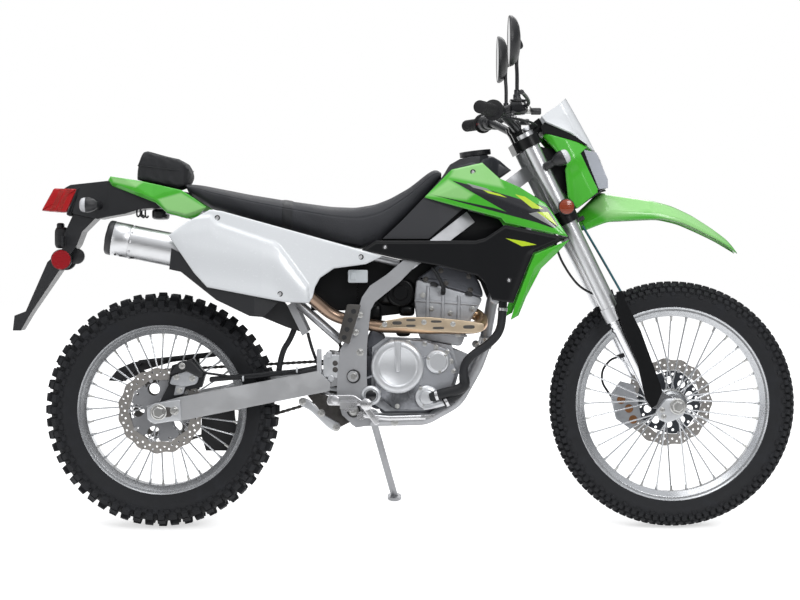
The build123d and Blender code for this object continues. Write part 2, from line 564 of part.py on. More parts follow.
def make_panels():
    # side covers: x, outer y at the foot, outer y at the top
    cover = panel([(-683, 814), (-634, 852), (-573, 886), (-540, 882), (-100, 759), (-144, 736),
                   (-232, 725),
                   (-302, 676), (-292, 643), (-300, 629), (-364, 632), (-578, 673), (-614, 712)],
                  [(-690, 180, 175), (-600, 190, 158), (-430, 184, 146), (-300, 160, 132), (-150, 128, 116),
                   (-95, 116, 112)])
    posts = rod((-420, SUBFRAME_HALF + SUBFRAME_RADIUS + FIT, 832), (-420, 150, 832), 7)
    keep("side_covers", pair(cover + posts))

    shroud = panel([(19, 921), (93, 998), (178, 1017), (186, 1009), (225, 973), (280, 948), (349, 904),
                    (368, 879),
                    (409, 812), (239, 849), (228, 863), (115, 893)],
                   [(10, 104, 102), (100, 112, 108), (225, 136, 126), (300, 152, 142), (415, 166, 158)])
    post = rod((150, 92, 950), (150, 116, 950), 9)
    keep("tank_shrouds", pair(shroud + post))

    side = panel([(-155, 776), (-116, 801), (159, 801), (184, 808), (239, 844), (409, 808), (349, 780),
                  (316, 767),
                  (302, 734), (261, 629), (203, 638), (184, 684), (164, 704), (60, 731), (-60, 752)],
                 [(-160, 116, 114), (0, 122, 120), (150, 138, 134), (250, 154, 150), (415, 170, 166)])
    post = rod((262, 128, 760), (262, 152, 760), 9)
    keep("side_panels", pair(side + post))

    fin = panel([(413, 802), (379, 765), (337, 724), (296, 645), (276, 595), (254, 584), (266, 625),
                 (306, 732),
                 (320, 764), (352, 777)], [(240, 150, 150), (430, 168, 168)])
    tab = slab([(240, 690), (304, 705), (304, 716), (244, 708)], 128, 146)
    tab += slab([(298, 703), (306, 703), (306, 716), (298, 716)], 128, 152)
    keep("shroud_fins", pair(fin + tab))


PLATE_HALF, PLATE_Z, PLATE_HOLE_RADIUS = 73, 799, 3.5     # the number plate's two screw holes


# ---- tail ------------------------------------------------------------------------------------
def make_tail():
    tail = panel([(-860, 969), (-854, 980), (-763, 966), (-655, 941), (-632, 927), (-585, 893), (-612, 866),
                  (-639, 862), (-694, 877), (-727, 906), (-849, 953)],
                 [(-870, 82, 78), (-700, 108, 96), (-570, 126, 112)])
    keep("tail_panels", pair(tail + slab([(-720, 915), (-690, 915), (-690, 928), (-720, 928)], 73, 98)))
    outline = [(-985, 948), (-968, 957), (-862, 968), (-780, 958), (-660, 930), (-652, 900), (-773, 889),
               (-815, 876), (-851, 870), (-890, 862), (-960, 876)]
    plan = [(-990, 56), (-860, 70), (-640, 73)]
    fender = slab(outline, -90, 90) & plan_prism(plan, 800, 1000)
    keep("rear_fender", fender)
    lamp = slab([(-1021, 948), (-985.4, 947.6), (-960.4, 876.4), (-1050, 884)], -50, 50)
    keep("tail_lamp", lamp)
    arm = [(-960.5, 875.7), (-899, 863.4), (-936, 826), (-950, 790), (-1000, 719), (-1076, 607),
           (-1088, 588), (-1110, 550),
           (-1133, 550), (-1128, 592), (-1096, 604), (-1034, 742), (-990, 781), (-986, 822)]
    bracket = slab(arm, -60, 60) & plan_prism([(-1140, 34), (-1000, 52), (-880, 60)], 500, 900)
    low, high = PLATE_Z - 15, PLATE_Z + 15
    bracket += slab([(-990, low), (-984, low), (-984, high), (-990, high)], -PLATE_HALF - 12, PLATE_HALF
                    + 12)
    for side in (1, -1):
        bracket -= rod((-1000, side * PLATE_HALF, PLATE_Z), (-970, side * PLATE_HALF, PLATE_Z),
                       PLATE_HOLE_RADIUS)
    keep("plate_bracket", bracket)
    stalk = rod((-900, 67, 898), (-900, 130, 898), 8)
    lens = slab([(-934, 921), (-916, 921), (-898, 910), (-898, 888), (-916, 877), (-934, 877)], 118, 168)
    keep("rear_indicators", pair(stalk + lens))


# ---- chain guard, pegs, controls ---------------------------------------------------------------
def make_small_parts():
    guard = slab([(-838, 405), (-792, 462), (-700, 472), (-560, 488), (-540, 480), (-700, 464), (-786, 454),
                  (-830, 402)], 67, 92)
    guard += slab([(-650, 371), (-620, 378), (-620, 478), (-650, 474)], 88, 92)
    guide = slab([(-612, 312), (-520, 330), (-515, 262), (-540, 205), (-600, 205), (-614, 250)], 64, 92)
    guide -= slab([(-640, 228), (-490, 271), (-490, 304), (-640, 261)], 65, 84)
    keep("chain_guards", guard, guide)
    peg = slab([(-214, 344), (-168, 344), (-168, 362), (-214, 362)], SPAR_OUTER + 14, 226)
    peg += slab([(-205, 330), (-176, 330), (-176, 372), (-205, 372)], SPAR_OUTER, SPAR_OUTER + 14)
    pedal = tube([(-150, -SPAR_OUTER - 8, 318), (-80, -128, 312), (20, -146, 316)], 7, 60)
    pedal += slab([(8, 314), (44, 316), (44, 324), (8, 322)], -162, -128)
    pedal += across(-156, 318, 12, -SPAR_OUTER - 14, -SPAR_OUTER)
    lever = tube([(-78, 98, 356), (-20, 128, 350), (44, 132, 356)], 6, 40)
    lever += across(-82, 356, 10, CASE_LEFT, 104) + across(44, 356, 8, 126, 158)
    keep("foot_controls", pair(peg), pedal, lever)
    axle = across(REAR_AXLE_X, REAR_AXLE_Z, AXLE_RADIUS, -128, 128)
    axle += across(REAR_AXLE_X, REAR_AXLE_Z, 15, ARM_OUTER, ARM_OUTER + 10)
    axle += across(REAR_AXLE_X, REAR_AXLE_Z, 15, -ARM_OUTER - 10, -ARM_OUTER)
    axle += across(REAR_AXLE_X, REAR_AXLE_Z, 13, SPROCKET_Y + 3 + RUNNING, ARM_INNER - FIT)
    axle += across(REAR_AXLE_X, REAR_AXLE_Z, 13, -79.7, REAR_DISC_Y - DISC_THICKNESS / 2 - RUNNING)
    keep("rear_axle", axle)
    caliper = slab([(-692, 402), (-682, 455), (-622, 474), (-588, 432), (-600, 394), (-640, 388)], -96, -50)
    caliper -= across(REAR_AXLE_X, REAR_AXLE_Z, REAR_DISC_RADIUS + 6, -80 + 1, -61)
    bracket = slab([(-738, 310), (-700, 306), (-640, 392), (-690, 404)], -ARM_INNER + FIT, -80)
    keep("rear_caliper", caliper + bracket - across(REAR_AXLE_X, REAR_AXLE_Z, AXLE_RADIUS + FIT, -100, -70)
         - SWINGARM_ROOM)


SWINGARM_ROOM = slab([(-760, 350), (-657, 375), (-560, 395), (-560, 300), (-760, 290)], -ARM_OUTER - 1,
                     -ARM_INNER)


# ---- fork ------------------------------------------------------------------------------------
def upright(radius, w_low, w_high, u=FORK_U, v=0):
    """A cylinder along the steering axis' direction, in the fork's frame."""
    return Pos(u, v, (w_low + w_high) / 2) * Cylinder(radius, w_high - w_low)


def make_fork():
    clamps = upright(STEM_RADIUS, LOWER_CLAMP_W - 10, UPPER_CLAMP_W + 10, 0)
    for w, height in ((LOWER_CLAMP_W, LOWER_CLAMP_HEIGHT), (UPPER_CLAMP_W, UPPER_CLAMP_HEIGHT)):
        low, high = w - height / 2, w + height / 2
        web = slab([(-28, low), (34, low), (34, high), (-28, high)], -FORK_HALF + 4, FORK_HALF - 4)
        yoke = web + upright(CLAMP_RADIUS, low, high, FORK_U, FORK_HALF)
        yoke += upright(CLAMP_RADIUS, low, high, FORK_U, -FORK_HALF)
        for side in (1, -1):
            yoke -= upright(OUTER_RADIUS + FIT, low - 1, high + 1, FORK_U, side * FORK_HALF)
        clamps += yoke
    for side in (1, -1):
        riser = slab([(-16, UPPER_CLAMP_W), (16, UPPER_CLAMP_W), (16, BAR_W + 14), (-16, BAR_W + 14)], side
                     * 48 - 14, side * 48 + 14)
        clamps += riser
    clamps -= rod((0, -90, BAR_W), (0, 90, BAR_W), BAR_RADIUS + FIT)
    keep_on_fork("fork_clamps", clamps)
    outer = upright(OUTER_RADIUS, OUTER_LOW, OUTER_HIGH, FORK_U, FORK_HALF)
    outer += upright(OUTER_RADIUS + 3, OUTER_LOW, OUTER_LOW + 40, FORK_U, FORK_HALF)
    keep_on_fork("fork_outer_tubes", pair(outer))
    inner = upright(INNER_RADIUS, 50, OUTER_LOW, FORK_U, FORK_HALF)
    inner += slab([(-8, 62), (36, 62), (60, 30), (78, 12), (78, -14), (62, -24), (44, -18), (18, 8),
                   (-6, 30)], 82, 120)
    inner -= rod((AXLE_OFFSET, 70, 0), (AXLE_OFFSET, 130, 0), AXLE_RADIUS + FIT)
    keep_on_fork("fork_inner_tubes", pair(inner))
    axle = rod((AXLE_OFFSET, -130, 0), (AXLE_OFFSET, 130, 0), AXLE_RADIUS)
    axle += rod((AXLE_OFFSET, 120, 0), (AXLE_OFFSET, 128, 0), 14) + rod((AXLE_OFFSET, -128, 0),
                                                                        (AXLE_OFFSET, -120, 0), 14)
    left_hub = FRONT_DISC_Y + DISC_THICKNESS / 2 + RUNNING
    axle += rod((AXLE_OFFSET, left_hub, 0), (AXLE_OFFSET, 82, 0), 13)
    axle += rod((AXLE_OFFSET, -82, 0), (AXLE_OFFSET, -FRONT_HUB_HALF - RUNNING, 0), 13)
    keep_on_fork("front_axle", axle)
    outline = [(48, 357), (64, 354), (60, 327), (62, 235), (45, 74), (41, 55), (11, 29), (-6, 28),
               (-9, 60), (3, 110),
               (15, 159), (18, 241), (27, 313)]
    moved = [(u - 5, w) for u, w in outline]
    guard = slab(outline, 112, 133) - slab(moved, 90, 129)
    guard -= upright(OUTER_RADIUS + 3 + FIT, OUTER_LOW - 1, 400, FORK_U, FORK_HALF)
    keep_on_fork("fork_guards", pair(guard - slab([(-8, 0), (80, 0), (80, 62), (-8, 62)], 80, 120.3)))
    caliper = slab([(-92, 20), (-78, 88), (-34, 112), (-6, 88), (-20, 30), (-28, -8), (-70, -20)], 44, 80)
    caliper -= rod((AXLE_OFFSET, 52, 0), (AXLE_OFFSET, 68, 0), FRONT_DISC_RADIUS + 6)
    caliper += slab([(-40, 66), (-8, 49), (12, 49), (12, 26), (-30, 20)], 70, 81.7)
    keep_on_fork("front_caliper", caliper)


BAR_ROUTE = [(-86, -BAR_END_HALF, BAR_W + 85), (-30, -BAR_BEND_HALF, BAR_W + 57), (0, -100, BAR_W),
             (0, 100, BAR_W), (-30, BAR_BEND_HALF, BAR_W + 57), (-86, BAR_END_HALF, BAR_W + 85)]


def on_bar(distance, forward=0, up=0):
    """A point of the left bar, a distance in from its end."""
    end, bend = BAR_ROUTE[5], BAR_ROUTE[4]
    length = math.dist(end, bend)
    u, v, w = [a + (b - a) * distance / length for a, b in zip(end, bend)]
    return (u + forward, v, w + up)


def make_bars():
    keep_on_fork("handlebar", tube(BAR_ROUTE, BAR_RADIUS, [60, 60, 60, 60]))
    grip = rod(on_bar(-4), on_bar(GRIP_LENGTH), GRIP_RADIUS) + rod(on_bar(GRIP_LENGTH - 6),
                                                                   on_bar(GRIP_LENGTH), 28)
    grip -= rod(on_bar(-FIT), on_bar(GRIP_LENGTH + 10), BAR_RADIUS + FIT)
    keep_on_fork("grips", pair(grip))
    housing = rod(on_bar(GRIP_LENGTH + 1), on_bar(GRIP_LENGTH + 34), 20)
    perch = rod(on_bar(GRIP_LENGTH + 34), on_bar(GRIP_LENGTH + 54), 17)
    arm = rod(on_bar(GRIP_LENGTH + 44, 12), on_bar(GRIP_LENGTH + 44, 46), 9)
    lever = tube([on_bar(GRIP_LENGTH + 46, 44), on_bar(80, 52, -4), on_bar(8, 62, -6)], 6, 200)
    bore = rod(on_bar(GRIP_LENGTH - 20), on_bar(GRIP_LENGTH + 70), BAR_RADIUS + FIT)
    boss = rod(on_bar(GRIP_LENGTH + 46, 0, 8), on_bar(GRIP_LENGTH + 46, 0, 20), 8)
    control = (housing + perch + arm + lever + boss) - bore
    reservoir = Pos(24, -CONTROL_V, BAR_W + 88) * Rot(0, -RAKE, 0) * Box(44, 52, 34)
    stalk = rod((8, -CONTROL_V, BAR_W + 64), (22, -CONTROL_V, BAR_W + 84), 10) - mirrored(bore)
    keep_on_fork("bar_controls", control, mirrored(control) + reservoir + stalk)
    middle = (84, CONTROL_V + 38, BAR_W + 210)
    forward = (COS_RAKE, 0, -SIN_RAKE)
    back = tuple(c - 15 * f for c, f in zip(middle, forward))
    front = tuple(c + 15 * f for c, f in zip(middle, forward))
    stem = tube([on_bar(GRIP_LENGTH + 46, 0, 20 + FIT), on_bar(GRIP_LENGTH + 46, 0, 50),
                 (24, CONTROL_V + 12, BAR_W + 131),
                 (58, CONTROL_V + 30, BAR_W + 162)], 5, [20, 30])
    keep_on_fork("mirrors", pair(rod(back, front, MIRROR_RADIUS) + stem))


def make_front():
    outline = [(58, 831), (69, 836), (143, 771), (163, 746), (165, 734), (134, 631), (128, 626),
               (100, 621), (53, 611),
               (44, 649), (71, 722), (80, 730), (72, 778)]
    cowl = moulding(outline, [(30, 113), (110, 110), (170, 82)], (-6, -4))
    arm = slab([(OUTER_RADIUS + FORK_U + FIT, 655), (70, 655), (70, 675),
                (OUTER_RADIUS + FORK_U + FIT, 675)], 92, 111)
    keep_on_fork("headlight_cowl", cowl + arm + mirrored(arm))
    lens = slab([(166, 737), (182, 719), (179, 678), (164, 624), (151, 620), (136, 629)], -78, 78)
    keep_on_fork("headlight_lens", lens)
    outline = [(78, 883), (94, 891), (144, 891), (171, 903), (179, 728), (172, 735), (148, 778),
               (135, 805), (82, 866)]
    screen = moulding(outline, [(70, 100), (140, 92), (185, 60)], (-6, -5))
    keep_on_fork("screen", screen)
    dash = slab([(61, 834.5), (64, 858), (81.5, 865.6), (134.5, 804.6), (147.4, 777.6), (159.4, 756.2),
                 (143.3, 771.4), (69, 836.5)], -88, 88)
    dash += slab([(40, 842), (40, 878), (74, 884), (76, 850)], -58, 58)
    keep_on_fork("dash", dash)
    outline = [(135, 626), (166, 605), (258, 539), (303, 501), (342, 453), (377, 396), (401, 350),
               (411, 319),
               (410, 301), (383, 345), (345, 396), (306, 443), (260, 480), (131, 534), (55, 534),
               (55, 571), (59, 598),
               (107, 615)]
    fender = moulding(outline, [(50, 58), (135, 72), (260, 72), (345, 58), (415, 30)], (-3, -5))
    fender += slab([(-8, 574), (66, 574), (66, 585.7), (-8, 585.7)], -57, 57)
    keep_on_fork("front_fender", fender)
    w = INDICATOR_W
    arm = slab([(10, w - 10), (72, w - 13), (72, w + 13), (10, w + 11)], FORK_HALF + OUTER_RADIUS + FIT,
               138)
    lens = slab([(72, w - 20), (98, w - 10), (92, w + 15), (72, w + 19)], 126, 166)
    reflector = rod((27, CLAMP_RADIUS + FORK_HALF + FIT, 629), (27, 143, 629), 22)
    keep_on_fork("front_indicators", pair(arm + lens), pair(reflector))


# ---- hoses and cables on the fork ---------------------------------------------------------------
def hose(points, radius):
    """A hose through points of the fork's frame, each corner as round as its runs allow."""
    runs = [math.dist(a, b) for a, b in zip(points, points[1:])]
    ways = [unit(tuple(q - p for p, q in zip(a, b))) for a, b in zip(points, points[1:])]
    bends = []
    for index in range(len(runs) - 1):
        turn = math.acos(max(-1, min(1, sum(p * q for p, q in zip(ways[index], ways[index + 1])))))
        bends.append(0.45 * min(runs[index], runs[index + 1]) / math.tan(turn / 2))
    print("hose bends", [round(bend) for bend in bends])
    return tube(points, radius, bends)


def make_hoses():
    brake = hose([(-20, -50, LOWER_CLAMP_W - 16), (-36, -58, 560), (-45, -60, 511), (-42, -60, 459),
                  (-32, -60, 413),
                  (-7, -61, 376), (33, -66, 348), (52, -82, 330)], BRAKE_HOSE_RADIUS)
    collar = upright(OUTER_RADIUS + 7, 316, 328, FORK_U, -FORK_HALF) - upright(OUTER_RADIUS + 3 + FIT, 315,
                                                                               329, FORK_U,
                                                                              -FORK_HALF)
    collar &= Pos(30, -82, 322) * Box(60, 54, 20)
    collar += rod((40, -92, 322), (54, -80, 322), 6)
    lower = hose([(-4, 96, 174), (-30, 90, 178), (-66, 74, 164), (-84, 64, 132), (-76, 62, 78)],
                 BRAKE_HOSE_RADIUS)
    clip = upright(INNER_RADIUS + 4, 168, 180, FORK_U, FORK_HALF) - upright(INNER_RADIUS + FIT, 160, 190,
                                                                            FORK_U, FORK_HALF)
    meter = rod((51, -60, 560), (66, -66, 345), METER_CABLE_RADIUS)
    tie = rod((66, -66, 346), (56, -78, 328), 5)
    control = hose([(-38, -CONTROL_V - 30, BAR_W + 44), (0, -CONTROL_V - 4, BAR_W + 20),
                    (38, -180, BAR_W - 4), (54, -120, BAR_W - 18),
                    (56, -50, BAR_W - 20)], CONTROL_CABLE_RADIUS)
    lines = (brake + collar + meter + tie) - upright(OUTER_RADIUS + 3 + FIT, 280, 340, FORK_U, -FORK_HALF)
    keep_on_fork("front_hoses", lines, (lower + clip) - upright(INNER_RADIUS + FIT, 150, 200, FORK_U,
                                                                FORK_HALF),
                 pair(control))
    PIECES["front_hoses"] = [shape - blocks for shape in PIECES["front_hoses"]
                             for blocks in [combined("fork_clamps", "front_caliper", "front_fender", "dash",
                                                     "bar_controls", "handlebar")]]


def combined(*names):
    """Every solid of some pieces, as one tool for a cut."""
    return Compound(children=[solid for name in names for shape in PIECES[name]
                              for solid in shape.solids()])


# ---- side stand --------------------------------------------------------------------------------
def unit(vector):
    length = math.sqrt(sum(c * c for c in vector))
    return tuple(c / length for c in vector)


def cross_product(a, b):
    return (a[1] * b[2] - a[2] * b[1], a[2] * b[0] - a[0] * b[2], a[0] * b[1] - a[1] * b[0])


def along(start, direction, distance):
    return tuple(s + d * distance for s, d in zip(start, direction))


def make_stand():
    pivot = (STAND_X, STAND_Y, STAND_Z)
    foot = (FOOT_X, FOOT_Y, (FOOT_Y * SIN_LEAN - LIFT) / COS_LEAN)
    down = unit(tuple(f - p for f, p in zip(foot, pivot)))
    axis = unit(cross_product(down, STAND_FOLDED))
    world_up = (0, -SIN_LEAN, COS_LEAN)
    leg = rod(along(pivot, down, 17), along(foot, world_up, 8), 10)
    head = rod(along(pivot, axis, -6), along(pivot, axis, 6), 20)
    sole = Plane(foot, z_dir=world_up) * extrude(Ellipse(30, 20), amount=9)
    keep("side_stand", leg + head + sole - rod(along(pivot, axis, -20), along(pivot, axis, 20), 6 + RUNNING)
         - slab([(-300, -60), (300, -60), (300, 42), (-300, 42)], 0, 1))
    plates = rod(along(pivot, axis, -20), along(pivot, axis, -7), 14)
    pin = rod(along(pivot, axis, -13), along(pivot, axis, 12), 6) + rod(along(pivot, axis, 7),
                                                                        along(pivot, axis, 12), 11)
    web = rod(along(pivot, axis, -20), (-158, SPAR_OUTER - 8, 294), 5.5)
    PIECES["main_frame"] = [PIECES["main_frame"][0] + plates + pin + web]


STAND_FOLDED = (-0.98, 0.1, 0.17)      # which way the leg points when it is folded up


def leaned(shape):
    """Put an upright piece where it stands with the bike leaning on its stand."""
    return Pos(SHIFT_X, SHIFT_Y, LIFT) * (Rot(-LEAN, 0, 0) * shape)


def lowest_reach(radius, width, count):
    """How far below its axle a leaned tyre reaches: to the corners of its lowest lug."""
    short = math.cos(2 * math.pi * LUG_HALF / count)
    return short * max(radius * COS_LEAN + 0.02 * width * SIN_LEAN,
                       (radius - 0.03 * width) * COS_LEAN + 0.24 * width * SIN_LEAN / short)


LIFT = max(lowest_reach(FRONT_TYRE_RADIUS, FRONT_TYRE_WIDTH, FRONT_LUGS) - FRONT_AXLE[2] * COS_LEAN,
           lowest_reach(REAR_TYRE_RADIUS, REAR_TYRE_WIDTH, REAR_LUGS) - REAR_AXLE_Z * COS_LEAN)


def main():
    for make in (make_wheels, make_chain, make_frame, make_swingarm, make_suspension, make_engine,
                 make_exhaust,
                 make_cooling, make_tank, make_seat, make_panels, make_tail, make_small_parts, make_fork,
                 make_bars,
                 make_front, make_hoses, make_stand):
        make()
    os.makedirs("parts", exist_ok=True)
    for name, shapes in PIECES.items():
        solids = []
        for shape in shapes:
            solids += leaned(shape).solids()
        whole = solids[0] if len(solids) == 1 else Compound(children=solids)
        export_step(whole, f"parts/{name}.step")
        print(name, len(solids))


main()
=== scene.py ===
# %% [markdown]
# # A dual sport motorcycle, dressed
# The engineering model arrives as one mesh for each piece, already in place. Pieces whose shape is
# right only get a finish. Tyres, chain, spring, panels, seat, bag, lenses, hoses and fasteners are
# made here, as surfaces that numpy works out and Blender shows.

# %% Load the model
import bpy
import bmesh
import math
import numpy as np
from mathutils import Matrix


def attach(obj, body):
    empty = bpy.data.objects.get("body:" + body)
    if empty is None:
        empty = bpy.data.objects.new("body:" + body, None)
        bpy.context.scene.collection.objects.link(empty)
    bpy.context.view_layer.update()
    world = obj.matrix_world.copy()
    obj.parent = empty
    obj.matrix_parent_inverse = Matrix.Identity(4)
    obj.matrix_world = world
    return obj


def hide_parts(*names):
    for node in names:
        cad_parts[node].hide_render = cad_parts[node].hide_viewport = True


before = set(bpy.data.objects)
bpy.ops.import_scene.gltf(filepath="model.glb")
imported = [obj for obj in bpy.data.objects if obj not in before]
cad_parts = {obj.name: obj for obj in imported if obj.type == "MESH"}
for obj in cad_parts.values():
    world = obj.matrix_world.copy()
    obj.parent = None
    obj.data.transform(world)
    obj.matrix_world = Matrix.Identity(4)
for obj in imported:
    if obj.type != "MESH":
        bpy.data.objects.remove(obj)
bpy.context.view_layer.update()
print("pieces in the model:", len(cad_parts))

# %% [markdown]
# ## Two frames
# The bike is easiest to describe standing upright: x forward, y to the left, z up, in millimetres.
# What steers is easiest in the fork's frame: u forward, v left, w up along the steering axis.
# The model leans on its stand, so the last step of every shape is to lean it and change to metres.

# %% From the upright bike and from the fork to the scene
LEAN, RAKE = math.radians(10), math.radians(26)
SHIFT = np.array([37.0, -200.0, 0.672])
AXIS_FOOT = np.array([659.3, 0.0, 316.8])
FRONT_AXLE = AXIS_FOOT + 62 * np.array([math.cos(RAKE), 0, math.sin(RAKE)])
REAR_AXLE = np.array([-715.0, 0.0, 328.0])


def leaned(points):
    """Upright millimetres to metres in the scene: turned about x by the lean, then moved."""
    x, y, z = np.moveaxis(np.asarray(points, float), -1, 0)
    tilted = np.stack([x, y * math.cos(LEAN) + z * math.sin(LEAN),
                       z * math.cos(LEAN) - y * math.sin(LEAN)], axis=-1)
    return (tilted + SHIFT) / 1000


def on_fork(points):
    """Fork millimetres (u, v, w) to the upright bike: turned about v by the rake."""
    u, v, w = np.moveaxis(np.asarray(points, float), -1, 0)
    return AXIS_FOOT + np.stack([u * math.cos(RAKE) - w * math.sin(RAKE), v,
                                 u * math.sin(RAKE) + w * math.cos(RAKE)], axis=-1)


# %% [markdown]
# ## The camera
# The picture looks squarely at the right side from about six metres. The camera leans with the
# bike, so the bike stands upright in its frame while the floor is seen from a little above.

# %% The camera
CAMERA_X, CAMERA_Z, CAMERA_DISTANCE = -110.6, 747.5, 6000.0
LENS_MM, SENSOR_MM = 95.9, 36.0
SHIFT_RIGHT, SHIFT_UP = 22 / 800, -40 / 800
camera_data = bpy.data.cameras.new("camera")
camera_data.sensor_width, camera_data.lens = SENSOR_MM, LENS_MM
camera_data.shift_x, camera_data.shift_y = SHIFT_RIGHT, SHIFT_UP
camera = bpy.data.objects.new("camera", camera_data)
bpy.context.scene.collection.objects.link(camera)
camera.location = leaned((CAMERA_X, -CAMERA_DISTANCE, CAMERA_Z))
camera.rotation_euler = (math.radians(90) - LEAN, 0, 0)
bpy.context.scene.camera = camera
bpy.context.scene.view_settings.view_transform = "Standard"
print("camera height in metres:", round(camera.location.z, 2))

# %% [markdown]
# ## Surfaces from numpy
# A surface here is a grid of points, rows by columns, and its faces join each point to its
# neighbours. A tube is a circle carried along a path, and a turned piece is a profile carried round
# an axis, so all three share one rule for faces. Pieces that repeat are one small mesh copied by
# array arithmetic, and most pieces on one side of the bike are mirrored to the other.

# %% Grids, stacks and meshes
def grid(points, around=False, along=False):
    """Quads over a rows x columns grid of points: (r, c), (r, c+1), (r+1, c+1), (r+1, c).
    around closes the columns and along closes the rows."""
    rows, columns = points.shape[:2]
    r, c = np.meshgrid(np.arange(rows - (not along)), np.arange(columns - (not around)),
                       indexing="ij")
    r2, c2 = (r + 1) % rows, (c + 1) % columns
    quads = np.stack([r * columns + c, r * columns + c2, r2 * columns + c2, r2 * columns + c], -1)
    return points.reshape(-1, 3), quads.reshape(-1, 4)


def stack(*shapes):
    """Several (points, quads) shapes as one, with each one's quads counted on from the last."""
    counts = np.cumsum([0] + [len(points) for points, quads in shapes[:-1]])
    return (np.concatenate([points for points, quads in shapes]),
            np.concatenate([quads + count for (points, quads), count in zip(shapes, counts)]))


def copies(shape, places, axes_u, axes_v, axes_w):
    """One shape at many places: place + x axis_u + y axis_v + z axis_w for each of its points."""
    points, quads = shape
    placed = (np.asarray(places)[:, None] + points[None, :, :1] * np.asarray(axes_u)[:, None]
              + points[None, :, 1:2] * np.asarray(axes_v)[:, None]
              + points[None, :, 2:] * np.asarray(axes_w)[:, None])
    offsets = (np.arange(len(placed)) * len(points))[:, None, None]
    return placed.reshape(-1, 3), (quads[None] + offsets).reshape(-1, 4)


def mirror(shape):
    """The same shape on the other side of the bike."""
    return shape[0] * (1, -1, 1), shape[1]


MERGE_MM, SLIVER_M = 0.02, 1e-6


def show(name, shape, material, body="chassis", sharp=40, replaces=None, both=False):
    """A finished object: points leaned to metres, doubles merged, faces outwards, riding on a body.
    both adds its mirror image; replaces names the piece of the model that it stands for."""
    points, quads = stack(shape, mirror(shape)) if both else shape
    mesh = bpy.data.meshes.new(name)
    mesh.from_pydata(leaned(points).tolist(), [], quads.tolist())
    work = bmesh.new()
    work.from_mesh(mesh)
    bmesh.ops.remove_doubles(work, verts=work.verts, dist=MERGE_MM / 1000)
    bmesh.ops.dissolve_degenerate(work, edges=work.edges, dist=SLIVER_M)
    bmesh.ops.recalc_face_normals(work, faces=work.faces)
    work.to_mesh(mesh)
    work.free()
    mesh.materials.append(material)
    mesh.shade_smooth()
    mesh.set_sharp_from_angle(angle=math.radians(sharp))
    piece = bpy.data.objects.new(name, mesh)
    bpy.context.scene.collection.objects.link(piece)
    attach(piece, body)
    if replaces:
        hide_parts(replaces)
    return piece


def steer(name, shape, material, **how):
    """A finished object drawn in the fork's frame, riding on the fork."""
    return show(name, forked(shape), material, "fork", **how)


# %% Tubes, turned pieces and bars
def smooth_line(corners, count=40):
    """The uniform quadratic B-spline of some corners, which starts and ends on them."""
    corners = np.asarray(corners, float)
    middles = (corners[1:-1] + corners[2:]) / 2 if len(corners) > 3 else corners[2:-1]
    starts = np.concatenate([corners[:1], middles[:len(corners) - 3]])
    ends = np.concatenate([middles[:len(corners) - 3], corners[-1:]])
    centres = corners[1:-1]
    t = np.linspace(0, 1, max(3, count // len(centres)))[:, None]
    spans = [(1 - t) ** 2 * a + 2 * t * (1 - t) * b + t ** 2 * c
             for a, b, c in zip(starts, centres, ends)]
    return np.concatenate([span[:-1] for span in spans[:-1]] + spans[-1:])


TUBE_ABOUT, TURN_ABOUT = (0.13, 0.21, 0.97), (0.31, 0.17, 0.93)     # along no run or axis here
TIP = 0.004                                                         # radius of a closed tip


def circle(count):
    """Angles evenly round a circle."""
    return np.linspace(0, 2 * math.pi, count, endpoint=False)


def pipe(line, radius, sides=16):
    """A circle carried along a line: point + radius (cos a n + sin a b), n, b square to its run."""
    line = np.asarray(line, float)
    run = np.gradient(line, axis=0)
    run /= np.linalg.norm(run, axis=1, keepdims=True)
    n = np.cross(run, TUBE_ABOUT)
    n /= np.linalg.norm(n, axis=1, keepdims=True)
    b = np.cross(run, n)
    radius = np.broadcast_to(np.asarray(radius, float), len(line))
    line, n, b = (np.concatenate([a[:1], a, a[-1:]]) for a in (line, n, b))
    radius = np.concatenate([[1e-3], radius, [1e-3]])[:, None, None]
    a = circle(sides)[None, :, None]
    return grid(line[:, None] + radius * (np.cos(a) * n[:, None] + np.sin(a) * b[:, None]),
                around=True)


def tube(corners, radius, sides, count=40):
    """A pipe along the smooth line of some corners."""
    return pipe(smooth_line(corners, count), radius, sides)


def turned(profile, centre, steps=64, axis=(0, 1, 0), close=True):
    """A profile of (radius, along) carried round an axis through the centre."""
    axis = np.asarray(axis, float) / np.linalg.norm(axis)
    n = np.cross(axis, TURN_ABOUT)
    n /= np.linalg.norm(n)
    b = np.cross(axis, n)
    radius, along = np.asarray(profile, float).T[:, :, None, None]
    a = circle(steps)[None, :, None]
    points = np.asarray(centre) + radius * (np.cos(a) * n + np.sin(a) * b) + along * axis
    return grid(points, around=True, along=close)


def knob(profile, centre, steps=64, axis=(0, 1, 0)):
    """A solid turned piece: the profile starts from the axis, and its last point lies on it."""
    profile = np.array([(TIP, profile[0][1]), *profile], float)
    profile[-1, 0] = TIP
    return turned(profile, centre, steps, axis, close=False)


def disc(profile, x, z, y, side=-1, steps=48):
    """A solid turned piece on the bike's side, whose profile says how far it stands out from y."""
    return knob(profile, (x, y, z), steps, (0, side, 0))


def block(half, power=4, rows=13, columns=24):
    """A rounded block: the superellipsoid |x/a|^p + |y/b|^p + |z/c|^p = 1."""
    up, a = np.meshgrid(np.linspace(-math.pi / 2, math.pi / 2, rows), circle(columns),
                        indexing="ij")
    ball = np.stack([np.cos(up) * np.cos(a), np.cos(up) * np.sin(a), np.sin(up)], -1)
    size = (np.abs(ball) ** power).sum(-1, keepdims=True) ** (-1 / power)
    return grid(ball * size * np.asarray(half, float), around=True)


